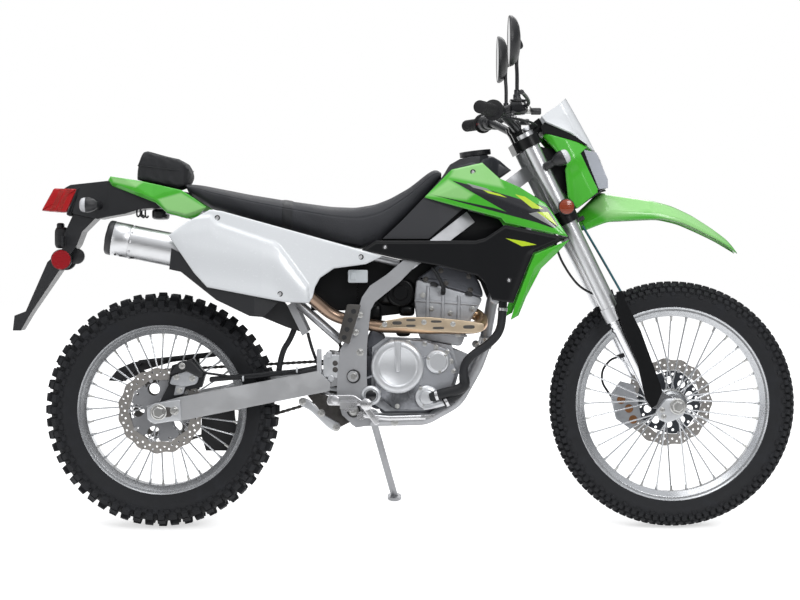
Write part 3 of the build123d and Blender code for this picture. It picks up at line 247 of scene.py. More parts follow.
def moved(shape, place, axes=((1, 0, 0), (0, 1, 0), (0, 0, 1))):
    """A shape turned so that its own x, y, z follow three axes, at a place."""
    return shape[0] @ np.asarray(axes, float) + np.asarray(place, float), shape[1]


def lump(half, place, power=4, rows=13, columns=24):
    """A rounded block at a place."""
    return moved(block(half, power, rows, columns), place)


def forked(shape):
    """A shape drawn in the fork's frame, in the upright bike's."""
    return on_fork(shape[0]), shape[1]


def slab(outline, low, high):
    """A flat plate from a side outline of (x, z): rows of points, closed by fans to its middle."""
    ring = np.asarray(outline, float)
    layers = [np.insert(ring, 1, y, axis=1) for y in (low, low, high, high)]
    middle = ring.mean(0)
    for index, y in ((0, low), (3, high)):
        layers[index] = np.tile([middle[0], y, middle[1]], (len(ring), 1))
    return grid(np.stack(layers), around=True)


def capped(rows):
    """A skin whose rows are closed loops, with each end closed to the middle of its loop."""
    ends = [np.tile(rows[k].mean(0), (1, rows.shape[1], 1)) for k in (0, -1)]
    return grid(np.concatenate([ends[0], rows, ends[1]]), around=True)


def spread(count):
    """Shares from 0 to 1, closer together towards both ends."""
    return 0.5 - 0.5 * np.cos(np.linspace(0, math.pi, count))


# %% [markdown]
# ## Finishes as sums
# A finish is a small network of nodes. Written out by hand it is hard to read, so a wrapped socket
# here takes plus, minus and times, and each of them adds one Math node. Every other node comes from
# one method. Patterns read object coordinates, so they stay on a piece whose place is in its mesh.

# %% Sockets with arithmetic, and one method for nodes
class Value:
    """A number that changes over the surface: arithmetic on it adds Math nodes."""

    def __init__(self, finish, socket):
        self.finish, self.socket = finish, socket

    def math(self, operation, *others):
        inputs = dict(enumerate((self, *others)))
        return self.finish.add("Math", {"operation": operation}, inputs)

    def __add__(self, other): return self.math("ADD", other)
    def __mul__(self, other): return self.math("MULTIPLY", other)
    def __sub__(self, other): return self.math("SUBTRACT", other)
    def __truediv__(self, other): return self.math("DIVIDE", other)

    def rises(self, low, high):
        """0 below low, 1 above high, and a smooth step between."""
        return self.finish.add("MapRange", {"interpolation_type": "SMOOTHSTEP"},
                               {0: self, 1: low, 2: high})

    def least(self, other): return self.math("MINIMUM", other)
    def most(self, other): return self.math("MAXIMUM", other)
    def wave(self): return self.math("SINE")


def colour(red, green, blue):
    """Screen values 0 to 255 as the linear colour that a shader wants."""
    share = np.array([red, green, blue]) / 255
    linear = np.where(share < 0.04045, share / 12.92, ((share + 0.055) / 1.055) ** 2.4)
    return (*linear.tolist(), 1.0)


def scaled(shade, factor):
    """A linear colour made darker or lighter."""
    return (*(min(1, c * factor) for c in shade[:3]), 1)


class Finish:
    """A material under construction."""

    def __init__(self, name):
        self.material = bpy.data.materials.new(name)
        self.material.use_nodes = True
        self.tree = self.material.node_tree
        self.tree.nodes.clear()
        self.place = self.add("TexCoord", output="Object")

    def add(self, kind, settings=(), inputs=(), output=0):
        """A node of a kind, its settings, then the numbers or links of its sockets."""
        node = self.tree.nodes.new("ShaderNode" + kind)
        for key, value in dict(settings).items():
            setattr(node, key, value)
        for key, value in dict(inputs).items():
            if isinstance(value, Value):
                self.tree.links.new(value.socket, node.inputs[key])
            else:
                node.inputs[key].default_value = value
        return Value(self, node.outputs[output])

    def noise(self, scale, detail=3.0, stretch=(1, 1, 1), roughness=0.5):
        """A cloudy pattern, from 0 to 1, with scale blobs a metre."""
        place = self.place
        if stretch != (1, 1, 1):
            place = self.add("Mapping", {}, {"Vector": place, "Scale": stretch})
        return self.add("TexNoise", {}, {"Vector": place, "Scale": scale, "Detail": detail,
                                         "Roughness": roughness})

    def cells(self, scale):
        """Distance to the nearest of scale points a metre."""
        return self.add("TexVoronoi", {"feature": "F1"}, {"Vector": self.place, "Scale": scale},
                        output="Distance")

    def apart(self, vector):
        """The three numbers of a vector."""
        node = self.tree.nodes.new("ShaderNodeSeparateXYZ")
        self.tree.links.new(vector.socket, node.inputs[0])
        return [Value(self, socket) for socket in node.outputs]

    def upright(self):
        """x, y and z of the upright bike in millimetres, from the leaned place in metres."""
        x, y, z = self.apart(self.place)
        y, z = y * 1000 - SHIFT[1], z * 1000 - SHIFT[2]
        return (x * 1000 - SHIFT[0], y * math.cos(LEAN) - z * math.sin(LEAN),
                y * math.sin(LEAN) + z * math.cos(LEAN))

    def mix(self, share, low, high):
        """low where share is 0 and high where it is 1, for colours."""
        return self.add("Mix", {"data_type": "RGBA"}, {0: share, 6: low, 7: high}, output=2)

    def bumps(self, height, depth, edge=0.0):
        """A normal: height times depth in metres, over edges rounded by the bevel's radius."""
        inputs = {"Height": height, "Distance": depth, "Strength": 1.0}
        if edge:
            inputs["Normal"] = self.add("Bevel", {"samples": 4}, {"Radius": edge})
        return self.add("Bump", {}, inputs)

    def seen_by(self, *rays):
        """1 for rays of any of some kinds, and 0 for the rest."""
        first, *others = [self.add("LightPath", output=f"Is {ray} Ray") for ray in rays]
        for other in others:
            first = first.most(other)
        return first

    def glow(self, strength):
        """White light given off."""
        return self.add("Emission", {}, {"Color": (1, 1, 1, 1), "Strength": strength})

    def done(self, **sockets):
        """Close the material with a principled shader; underscores stand for spaces."""
        inputs = {key.replace("_", " "): value for key, value in sockets.items()}
        return self.close(self.add("BsdfPrincipled", {}, inputs, output="BSDF"))

    def close(self, shader):
        out = self.tree.nodes.new("ShaderNodeOutputMaterial")
        self.tree.links.new(shader.socket, out.inputs[0])
        return self.material


# %% [markdown]
# ## Marks on panels
# The stripes on the shroud are foils with straight edges. Each is a convex polygon in side view: a
# point is inside where it is on the inner side of every edge, so the least of its distances to the
# edges is above nought. That gives crisp shapes with no picture.

# %% A mask from a polygon
def inside(x, z, corners, soft=0.5):
    """1 inside a convex polygon in side view, 0 outside: the least distance to its edges, in mm."""
    corners = np.asarray(corners, float)
    middle = corners.mean(0)
    nearest = None
    for start, end in zip(corners, np.roll(corners, -1, axis=0)):
        normal = np.array([start[1] - end[1], end[0] - start[0]])
        normal /= np.linalg.norm(normal)
        if normal @ (middle - start) < 0:
            normal = -normal
        distance = x * float(normal[0]) + z * float(normal[1]) - float(normal @ start)
        nearest = distance if nearest is None else nearest.least(distance)
    return nearest.rises(-soft, soft)


# %% [markdown]
# ## Finishes of the bike
# Body panels are injection-moulded plastic: one deep colour, a faint ripple that shows only in
# reflections, and softened edges. Small black parts are moulded with a fine leather grain. Castings
# are grainy and matt, tubes are sprayed satin silver, and the arm and rims are brushed or polished.

# %% Plastics and rubber
def plastic(name, shade, rough=0.28, grain=0.0, edge=0.002, coat=0.0, mottle=0.06, spec=0.5):
    """Moulded plastic: a slow ripple for gloss, or a fine grain for the textured black."""
    f = Finish(name)
    shade = colour(*shade)
    tint = f.mix(f.noise(14, 2), scaled(shade, 1 - mottle), scaled(shade, 1 + mottle))
    scuffs = f.noise(160, 4, (1, 3, 1))
    surface = f.cells(900) * grain + f.noise(9, 1) * 0.6 if grain else f.noise(9, 1)
    return f.done(Base_Color=tint, Roughness=scuffs * 0.1 + (rough - 0.05),
                  Normal=f.bumps(surface, 0.0004 if grain else 0.0012, edge),
                  Coat_Weight=coat, Coat_Roughness=0.08, Specular_IOR_Level=spec)


def rubber(name, shade, rough=0.72):
    """Rubber: nearly black, chalky in patches, with fine pores."""
    f = Finish(name)
    shade = colour(*shade)
    dust = f.noise(22, 5).rises(0.45, 0.75)
    dark = f.mix(dust, shade, scaled(shade, 1.7))
    return f.done(Base_Color=dark, Roughness=dust * 0.12 + rough,
                  Normal=f.bumps(f.noise(420, 4), 0.0006, 0.0012), Specular_IOR_Level=0.35)


GREEN_SHADE = (72, 184, 44)
GREEN = plastic("green_plastic", GREEN_SHADE, 0.24, coat=0.35, edge=0.003)
WHITE = plastic("white_plastic", (226, 229, 232), 0.26, coat=0.3, mottle=0.01, edge=0.003)
BLACK = plastic("black_plastic", (30, 31, 34), 0.38, grain=0.5, edge=0.0025)
GLOSS_BLACK = plastic("gloss_black", (20, 21, 24), 0.16, coat=0.6)
DASH_BLACK = plastic("dark_grey_plastic", (46, 47, 51), 0.42, grain=0.5)
DEEP_BLACK = plastic("deep_black", (10, 11, 13), 0.32, spec=0.25)
TEAL = plastic("teal_sheath", (30, 92, 104), 0.35)
TANK_PAINT = plastic("tank_paint", (58, 60, 64), 0.3)
RELAY_CASE = plastic("relay_case", (214, 220, 224), 0.35)
TYRE_RUBBER = rubber("tyre_rubber", (30, 31, 34))
HOSE_RUBBER = rubber("hose_rubber", (26, 27, 30), 0.5)
GRIP_RUBBER = rubber("grip_rubber", (24, 24, 26), 0.66)


# %% Metals
def metal(name, shade, rough, scale, depth=0.0002, dirt=0.12, metallic=1.0, dark=0.5,
          grain=(1, 1, 1)):
    """Metal: streaks or grains along one direction, darker where grime gathers."""
    f = Finish(name)
    shade = colour(*shade)
    streaks = f.noise(scale, 4, grain)
    grime = f.noise(11, 5, roughness=0.62).rises(0.42, 0.78) * dirt
    return f.done(Base_Color=f.mix(grime, shade, scaled(shade, dark)), Metallic=metallic,
                  Roughness=streaks * 0.16 + grime + (rough - 0.08),
                  Normal=f.bumps(streaks, depth, 0.0012))


CAST = metal("cast_alloy", (176, 178, 182), 0.46, 700, 0.0005, 0.4, 0.75)
COVER = metal("cover_alloy", (206, 208, 211), 0.36, 300, 0.0001, 0.15, 0.7)
# The case alloy is darker and more mottled than the round covers on it: partly grime, and partly
# painted shade for the shadow round the clutch cover.
CASE = metal("case_alloy_painted_shade", (158, 160, 165), 0.45, 500, 0.0005, 0.75, 0.75, 0.3)
DARK_CAST = metal("dark_cast", (88, 90, 96), 0.4, 500, dirt=0.3, metallic=0.6)
SILVER_PAINT = metal("silver_paint", (170, 171, 174), 0.42, 900, 0.0001, 0.2, 0.7)
BRUSHED = metal("brushed_alloy", (205, 206, 208), 0.34, 900, 0.0001, grain=(0.05, 1, 1))
RIM_ALLOY = metal("rim_alloy", (196, 198, 201), 0.24, 200, 0.00002, 0.08, 0.9)
CHROME = metal("hard_chrome", (222, 223, 226), 0.13, 60, 0.00002, 0.05)
STEEL = metal("bright_steel", (200, 200, 202), 0.27, 400, dirt=0.2)
ZINC = metal("zinc_bolts", (188, 188, 186), 0.3, 400, dirt=0.3)
DARK_STEEL = metal("dark_steel", (92, 90, 88), 0.4, 600, dirt=0.5)
BLACK_METAL = metal("black_enamel", (34, 35, 38), 0.34, 500, dirt=0.2, metallic=0.3)
BRONZE = metal("straw_steel", (205, 186, 160), 0.3, 400, dirt=0.3, metallic=0.9)
PAD_BRONZE = metal("pad_bronze", (150, 104, 66), 0.45, 300, dirt=0.3, metallic=0.5)
MIRROR_GLASS = metal("mirror_glass", (84, 88, 94), 0.1, 20, 0.00001, 0.03)


def hot_pipe(name):
    """Stainless steel that heat has tinted: straw to brown, in bands along the pipe."""
    f = Finish(name)
    x, y, z = f.upright()
    heat = (x / 260 + f.noise(18, 3) * 0.5).rises(-0.6, 0.9)
    tint = f.mix(heat, colour(150, 128, 112), colour(206, 172, 136))
    return f.done(Base_Color=tint, Metallic=0.95, Roughness=f.noise(300, 3) * 0.15 + 0.24,
                  Normal=f.bumps(f.noise(350, 3), 0.0001, 0.001))


def lens(name, shade, rough, through):
    """Tinted lens: part clear, with fine upright prisms pressed in its back."""
    f = Finish(name)
    shade = colour(*shade)
    x, y, z = f.upright()
    prisms = (y * 1.6).wave() * 0.5 + (z * 1.1).wave() * 0.3
    tint = f.mix(f.noise(30, 2), shade, scaled(shade, 0.85))
    return f.done(Base_Color=tint, Roughness=rough, Normal=f.bumps(prisms, 0.0003, 0.0015),
                  Transmission_Weight=through, IOR=1.45, Coat_Weight=0.5)


HEADER = hot_pipe("header_steel")
RED_LENS = lens("red_lens", (206, 24, 30), 0.12, 0.15)
REFLECTOR = lens("amber_reflector", (150, 58, 24), 0.2, 0.0)
RED_REFLECTOR = lens("red_reflector", (168, 16, 28), 0.15, 0.0)
CLEAR_LENS = lens("clear_lens", (238, 240, 242), 0.02, 0.95)
SMOKE_LENS = lens("smoke_lens", (232, 234, 238), 0.1, 0.1)
# A pale pink lens for the painted glints on the tail lamp's flanks.
TAIL_PAINTED_GLINT_LENS = lens("tail_painted_glint", (236, 110, 100), 0.2, 0.9)
LAMP_SIDE_LENS = lens("lamp_side_lens", (196, 200, 210), 0.12, 0.1)

# %% [markdown]
# ## Marked panels
# The upper shroud is green with a dark foil band that runs back to a point, a lime bar and a lime
# and a grey wedge. The lower panel is black, with a lime arrow. A few facets of the green panels
# carry painted highlights: paler green where they face the light. All of them are polygons of
# (x, z) corners.

# %% Shroud, fender, tail and lower panel with their foils
FOIL_DARK, FOIL_LIME, FOIL_GREY = colour(28, 29, 34), colour(196, 224, 48), colour(150, 152, 150)
# The paler green of the painted highlights on the green panels.
PAINTED_HIGHLIGHT_GREEN = colour(168, 224, 148)
SHROUD_FOILS = [  # from the lowest foil to the one on top
    ([(35.2, 929), (207.3, 891.4), (377.2, 836.3)], FOIL_DARK),
    ([(79, 976), (181, 945), (258, 925), (352, 897), (385, 842), (368, 835), (244, 879)],
     FOIL_DARK),
    ([(133.9, 960.2), (189, 945), (207.3, 933.6), (152.3, 947.3)], FOIL_GREY),
    ([(303, 875), (327, 880), (378, 838), (372, 836)], FOIL_GREY),
    ([(326, 879), (356, 879), (381, 841)], FOIL_LIME),
    ([(177.5, 941.8), (225.7, 929), (244.1, 918.9), (193.6, 931.7)], FOIL_LIME),
    ([(267, 928.1), (293.6, 921.6), (344.1, 886.8), (312.9, 889.5)], FOIL_LIME)]
ARROW = [(215, 820), (284, 785), (338, 791), (290, 799)]
# Painted highlights: paler patches painted on the shroud facets that face the light.
SHROUD_PAINTED_HIGHLIGHTS = [
    [(101.8, 1002.4), (182.1, 1018.5), (225.7, 972.6), (234.9, 947.4), (88, 977.2)],
    [(26, 925.3), (83.4, 970.3), (152.3, 929), (133.9, 914.3)]]
# Painted highlights on the fender's upper face, where it catches the light.
FENDER_PAINTED_HIGHLIGHTS = [[(483, 896), (522.2, 940), (651, 925), (656.6, 881.9), (527.8, 862.3)],
                [(651, 925), (777, 892), (892, 778), (763, 830), (651, 879.1)]]
# Painted highlights on the tail panel's upper facets.
TAIL_PAINTED_HIGHLIGHTS = [
    [(-719, 915.5), (-654.8, 933.2), (-579.5, 887.3), (-632.4, 867.6), (-694.6, 883.1)],
    [(-852.4, 977.8), (-763.5, 963.1), (-783, 949.3), (-845, 964)]]


def foiled(name, shade=GREEN_SHADE, foils=(), rough=0.22, coat=0.35, painted_highlights=(), soft=6.0,
           spec=0.5):
    """Plastic with foils: each polygon takes over the colour where its mask is 1. A painted
    highlight is a paler green patch, with a soft edge, under the foils, on a facet that faces the
    light."""
    f = Finish(name)
    shade = colour(*shade)
    x, _, z = f.upright()
    tint = f.mix(f.noise(14, 2), shade, scaled(shade, 0.94))
    # Painted highlights: paler green mixed into the colour over the facets that face the light.
    for corners in painted_highlights:
        tint = f.mix(inside(x, z, corners, soft) * 0.75, tint, PAINTED_HIGHLIGHT_GREEN)
    edges = x * 0
    for corners, ink in foils:
        mask = inside(x, z, corners)
        tint = f.mix(mask, tint, ink)
        edges = edges.most(mask)
    return f.done(Base_Color=tint, Roughness=f.noise(160, 4) * 0.08 + rough,
                  Normal=f.bumps(f.noise(9, 1) + edges * 0.06, 0.001, 0.003), Coat_Weight=coat,
                  Coat_Roughness=0.06, Specular_IOR_Level=spec)


# The shroud, fender and tail carry painted highlights on top of their own green.
SHROUD = foiled("shroud_plastic_painted_highlights", foils=SHROUD_FOILS, painted_highlights=SHROUD_PAINTED_HIGHLIGHTS)
FENDER_GREEN = foiled("fender_plastic_painted_highlights", painted_highlights=FENDER_PAINTED_HIGHLIGHTS, soft=14.0)
TAIL_GREEN = foiled("tail_plastic_painted_highlights", painted_highlights=TAIL_PAINTED_HIGHLIGHTS, soft=4.0)
LOWER_PANEL = foiled("lower_panel_plastic", (12, 13, 16), [(ARROW, FOIL_LIME)], 0.34, 0.04,
                     spec=0.25)

# %% [markdown]
# ## Dressing the model's own pieces
# A piece whose shape is right keeps it and takes a finish by name. One table says which.

# %% One table from finish to pieces
PIECES_OF = (
    (DASH_BLACK, "fuel_tank"),
    (BLACK, "fuel_cap rear_fender plate_bracket silencer_shield chain_guards"),
    (DEEP_BLACK, "dash fork_guards fork_clamps airbox"),
    (BRUSHED, "fork_outer_tubes swingarm silencer"),
    (CHROME, "fork_inner_tubes"),
    (ZINC, "front_axle rear_axle"),
    (CAST, "front_caliper engine_cases"),
    (BLACK_METAL, "handlebar radiators rear_caliper"),
    (SILVER_PAINT, "main_frame frame_cradle subframe side_stand"),
    (DARK_STEEL, "rear_shock rear_sprocket"),
    (HEADER, "exhaust_header"),
    (RIM_ALLOY, "front_wheel rear_wheel"),
    (STEEL, "foot_controls"),
    (HOSE_RUBBER, "front_hoses"))
for material, nodes in PIECES_OF:
    for node in nodes.split():
        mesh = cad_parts[node].data
        mesh.materials.clear()
        mesh.materials.append(material)
print("pieces of the model in their own finish:", sum(len(n.split()) for m, n in PIECES_OF))

# %% [markdown]
# ## Block tyres
# An off-road tyre is a smooth carcass with separate rubber blocks moulded on it. The carcass is one
# profile turned round the axle. One block of five faces is then copied along rows: its place is a
# point of the same profile, and it stands along the profile's normal there, so that the shoulder
# blocks lean outwards as the real ones do.

# %% Carcass and blocks
def carcass_profile(radius, width, rim_radius, lug):
    """Half the section from crown to bead, as (radius, y): the smooth line of six corners."""
    crown = radius - lug
    rise = crown - rim_radius
    corners = [(crown, 0, 0), (crown - 0.01 * width, 0, 0.26 * width),
               (crown - 0.17 * width, 0, 0.46 * width), (rim_radius + 0.45 * rise, 0, 0.5 * width),
               (rim_radius + 9, 0, 0.4 * width), (rim_radius - 7, 0, 0.33 * width)]
    return smooth_line(corners, 44)[:, (0, 2)]


def compass(count, phase=0.0):
    """Directions radial, onward and sideways at even angles round the axle."""
    a = (np.arange(count) + phase) * 2 * math.pi / count
    return (np.stack([np.cos(a), 0 * a, np.sin(a)], -1),
            np.stack([-np.sin(a), 0 * a, np.cos(a)], -1), np.tile([0, 1.0, 0], (count, 1)))


# each row of blocks: share of the way from crown to bead, phase, half length, half width, height
FRONT_ROWS = [(0.07, 0.0, 8.5, 6.5, 9), (0.07, 0.5, 8.5, 6.5, 9), (0.24, 0.25, 8, 7, 9),
              (0.24, 0.75, 8, 7, 9), (0.40, 0.0, 8, 6.5, 8), (0.40, 0.5, 7.5, 6.5, 8),
              (0.54, 0.25, 6.5, 5.5, 4)]
REAR_ROWS = [(0.0, 0.0, 12, 13, 14), (0.15, 0.5, 12.5, 10, 14), (0.26, 0.0, 12, 9, 14),
             (0.385, 0.5, 12, 9, 13), (0.40, 0.0, 10, 9, 13), (0.53, 0.25, 9, 6, 5),
             (0.53, 0.75, 9, 6, 5)]
BLOCK_LAYERS = ((1.12, -0.4), (1.0, 0.2), (0.86, 1.0), (0.0, 1.0))      # half size, height


def block_tyre(radius, width, rim_radius, lug, pitches, rows, centre):
    """Carcass and blocks in one: each block is on the profile, its height along its normal."""
    half = carcass_profile(radius, width, rim_radius, lug)
    other = half[::-1] * (1, -1)
    shapes = [turned(np.concatenate([other[:-1], half]), (0, 0, 0), 128)]
    square = np.array([(-1, -1), (1, -1), (1, 1), (-1, 1)], float)
    unit_block = grid(np.stack([np.column_stack([square * size, np.full(4, height)])
                                for size, height in BLOCK_LAYERS]), around=True)
    run = np.linspace(0, 1, len(half))
    slope = np.gradient(half, axis=0)
    slope /= np.linalg.norm(slope, axis=1, keepdims=True)
    for share, phase, long, wide, high in rows:
        r, y = (np.interp(share, run, half[:, k]) for k in (0, 1))
        dr, dy = (np.interp(share, run, slope[:, k]) for k in (0, 1))
        radial, onward, side = compass(pitches, phase)
        for hand in ((1, -1) if y > 1 else (1,)):
            across = radial * dr + side * dy * hand
            outward = radial * dy - side * dr * hand
            shapes.append(copies(unit_block, radial * r + side * y * hand, onward * long,
                                 across * wide, outward * high))
    return moved(stack(*shapes), centre)


front_tyre = show("front_block_tyre", block_tyre(344, 86, 277, 9, 49, FRONT_ROWS, FRONT_AXLE),
                  TYRE_RUBBER, "front_wheel_body", sharp=35, replaces="front_tyre")
rear_tyre = show("rear_block_tyre", block_tyre(328, 120, 244, 14, 28, REAR_ROWS, REAR_AXLE),
                 TYRE_RUBBER, "rear_wheel_body", sharp=35, replaces="rear_tyre")
print("tyre faces:", len(front_tyre.data.polygons), len(rear_tyre.data.polygons))

# %% [markdown]
# ## Brake discs
# The disc is a thin ring with a waved edge, drilled with small holes. The wave is geometry. The
# holes are a mask in polar coordinates that makes the steel see-through: the angle is folded into
# one sector, and a hole is where the distance to the sector's middle is small.

# %% Drilled steel and dark carriers
def pierced(name, shade, centre, holes, metallic=0.95, rough=0.3, swirl=True):
    """Metal with round holes: each entry is (ring radius, count, phase, hole radius) in mm."""
    f = Finish(name)
    shade = colour(*shade)
    x, _, z = f.upright()
    x, z = x - float(centre[0]), z - float(centre[2])
    reach = (x * x + z * z).math("SQRT")
    angle = z.math("ARCTAN2", x)
    solid = None
    for ring, count, phase, size in holes:
        sector = 2 * math.pi / count
        folded = (angle / sector + (phase + 1000)).math("FRACT") - 0.5
        aside, off = folded * (sector * ring), reach - ring
        gap = (aside * aside + off * off).math("SQRT").rises(size - 0.4, size + 0.4)
        solid = gap if solid is None else solid.least(gap)
    rings = (reach * 2.3).wave() * 0.5 + 0.5
    tint = f.mix(rings * 0.3 + f.noise(40, 4) * 0.3, shade, scaled(shade, 0.62))
    return f.done(Base_Color=tint, Metallic=metallic, Roughness=rings * 0.08 + rough, Alpha=solid,
                  Normal=f.bumps(rings if swirl else f.noise(300, 3), 0.00008, 0.0008))


def waved_ring(inner, outer, y_half, y, waves=0, depth=0.0, bore_waves=0, bore_depth=0.0):
    """A flat ring whose edge radius is outer - depth (1 - cos(waves a)) / 2, and the bore too."""
    a = circle(288)
    rim = outer - depth * (0.5 - 0.5 * np.cos(waves * a))
    bore = inner - bore_depth * (0.5 - 0.5 * np.cos(bore_waves * a))
    rows = [(bore, y - y_half), (rim, y - y_half), (rim, y + y_half), (bore, y + y_half)]
    return grid(np.stack([np.stack([r * np.cos(a), 0 * a + y, r * np.sin(a)], -1)
                          for r, y in rows]), around=True, along=True)


def pin(*profile, steps=12, axis=(0, 1, 0)):
    """A small turned pin at the centre, open at 0.01 mm from its axis at both ends."""
    return turned(profile, (0, 0, 0), steps, axis, close=False)


def studs(ring, count, y_half, y, size, phase=0.0):
    """Round studs on a circle, as copies of one short turned pin."""
    low, high = y - y_half, y + y_half
    one = pin((0.01, low), (size, low), (size, high - size * 0.2), (size * 0.8, high),
              (0.01, high))
    radial = compass(count, phase)[0]
    eye = np.tile(np.eye(3)[:, None], (1, count, 1))
    return copies(one, ring * radial, *eye)


def dress_disc(end, centre, y, outer, carrier_holes, carrier_shade):
    """Braking ring, its carrier and the rivets between them."""
    name, body = end + "_brake", end + "_wheel_body"
    holes = [(outer - 11, 30, 0.0, 3.0), (outer - 20, 30, 0.5, 3.0)]
    steel = pierced(name + "_steel", (178, 174, 170), centre, holes)
    alloy = pierced(name + "_carrier_alloy", carrier_shade, centre, carrier_holes, 0.6, 0.4, False)
    ring = waved_ring(outer - 31, outer, 2, y, 15, 5, 10, 4)
    plate = stack(waved_ring(31, outer - 33, 2.6, y, 5, 7), waved_ring(20, 34, 4, y))
    rivets = stack(studs(outer - 33, 10, 4.2, y, 5), studs(29, 6, 8, y, 4.5, 0.5))
    show(name + "_braking_ring", moved(ring, centre), steel, body, replaces=end + "_disc")
    show(name + "_carrier", moved(plate, centre), alloy, body)
    show(name + "_rivets", moved(rivets, centre), STEEL, body)


dress_disc("front", FRONT_AXLE, 60, 125, [(62, 10, 0.0, 11), (80, 20, 0.0, 4)], (70, 74, 80))
dress_disc("rear", REAR_AXLE, -70, 120, [(62, 5, 0.0, 17), (80, 15, 0.5, 4)], (150, 151, 154))

# %% [markdown]
# ## Spoke nipples and hubs
# Each spoke ends in a nipple at the rim. They are tiny, but a row of bright studs is what makes a
# spoked rim read as one.

# %% Nipples, hub flanges and rim lips
SPOKES = 36


def nipples(radius):
    """Short pins standing inwards from the rim: copies along (radial, y, tangent)."""
    radial, onward, side = compass(SPOKES)
    one = pin((0.01, -14), (2.6, -14), (3.6, -3), (4.6, 0), (4.6, 4), steps=8, axis=(1, 0, 0))
    return copies(one, radial * radius, radial, side, onward)


for end, centre, radius, half, lip_y in (("front", FRONT_AXLE, 246, 36, 25),
                                         ("rear", REAR_AXLE, 213, 44, 33)):
    edge = turned([(38.6, half - 12), (41, half - 9), (38.6, half - 6)], (0, 0, 0), 48)
    lips = [turned([(radius + 23, y), (radius + 27, y + 3 * s), (radius + 24, y + 5 * s),
                    (radius + 19, y + s)], (0, 0, 0), 128) for s, y in ((1, lip_y), (-1, -lip_y))]
    show(end + "_nipples", moved(stack(nipples(radius), edge, mirror(edge)), centre), ZINC,
         end + "_wheel_body")
    show(end + "_rim_lips", moved(stack(*lips), centre), RIM_ALLOY, end + "_wheel_body")


# %% [markdown]
# ## The chain
# A roller chain alternates narrow inner and wide outer links. The pitch line is two arcs and two
# straight runs round the sprockets. Points one pitch apart along it are the pins, and a plate with
# a waist joins each pin to the next.

# %% Roller chain
CHAIN_PITCH, CHAIN_Y = 15.875, 74.0
BIG_SPROCKET, SMALL_SPROCKET = (REAR_AXLE[0], REAR_AXLE[2], 106.2), (-112.0, 432.0, 35.7)


def pitch_line(distances, big=BIG_SPROCKET, small=SMALL_SPROCKET):
    """Points on the belt round two circles, at distances along it: arc, run, arc, run."""
    dx, dz = small[0] - big[0], small[1] - big[1]
    apart, tilt = math.hypot(dx, dz), math.atan2(dz, dx)
    lean = math.acos((big[2] - small[2]) / apart)
    run = apart * math.sin(lean)
    ends = np.cumsum([big[2] * 2 * (math.pi - lean), run, small[2] * 2 * lean, run])
    s = np.mod(distances, ends[-1])
    first = tilt - lean - s / big[2]
    third = tilt + lean - (s - ends[1]) / small[2]
    parts = [s < ends[0], s < ends[1], s < ends[2]]
    angle = np.select(parts, [first, tilt + lean, third], tilt - lean)
    along = np.select(parts, [0 * s, s - ends[0], 0 * s], s - ends[2])
    centre = np.where(parts[1][:, None], big[:2], small[:2])
    size = np.where(parts[1], big[2], small[2])
    normal = np.stack([np.cos(angle), np.sin(angle)], -1)
    point = centre + size[:, None] * normal + along[:, None] * normal[:, ::-1] * (1, -1)
    return point, ends[-1]


def roller_chain():
    """Plates from pin to pin, alternately inside and outside, with pins and rollers across."""
    total = pitch_line(np.zeros(1))[1]
    count = int(round(total / CHAIN_PITCH / 2)) * 2
    pins = np.insert(pitch_line(np.arange(count) * total / count)[0], 1, CHAIN_Y, axis=1)
    onward = np.roll(pins, -1, axis=0) - pins
    run = onward / np.linalg.norm(onward, axis=1, keepdims=True)
    side = np.tile([0, 1.0, 0], (count, 1))
    up = np.cross(run, side)
    a = circle(20)
    waist = 1 - 0.28 * np.cos(a * 2 + math.pi) ** 8
    outline = np.stack([7.9 + 13.1 * np.cos(a), 5.6 * np.sin(a) * waist], -1)
    outline[:, 1] *= np.where(np.abs(np.cos(a)) < 0.45, 0.78, 1.0)
    plate = slab(outline, -0.8, 0.8)
    rod = pin((0.01, -9.6), (2.6, -9.6), (2.6, 9.6), (0.01, 9.6), steps=8)
    roller = turned([(2.6, -3), (4.8, -3), (4.8, 3), (2.6, 3)], (0, 0, 0), 10)
    shapes = [copies(piece, pins, run, side, up) for piece in (rod, roller)]
    for start, reach in ((0, 5.4), (1, 7.6)):
        for hand in (1, -1):
            places = pins[start::2] + side[start::2] * reach * hand
            shapes.append(copies(plate, places, run[start::2], side[start::2], up[start::2]))
    return stack(*shapes)


show("roller_chain", roller_chain(), DARK_STEEL, replaces="drive_chain")

# %% [markdown]
# ## Body panels
# A moulded panel is a thin curved sheet inside a crisp outline. Here it is a grid whose columns run
# along the bike and whose rows run from the lower edge line to the upper one; a function gives how
# far out each point stands, so creases and pods are sums of smooth steps. The sheet is turned back
# at its edges, and a second layer inside closes it.

# %% Sheets between two edge lines
def step(x, low, high):
    """0 below low, 1 above high and 3t^2 - 2t^3 between."""
    t = np.clip((np.asarray(x, float) - low) / (high - low), 0, 1)
    return t * t * (3 - 2 * t)


def rolled(near, width):
    """How far an edge is rolled in, as a share: a quarter circle over a width, and 0 beyond."""
    return 1 - np.sqrt(np.clip(1 - (1 - np.clip(near / width, 0, 1)) ** 2, 0, 1))


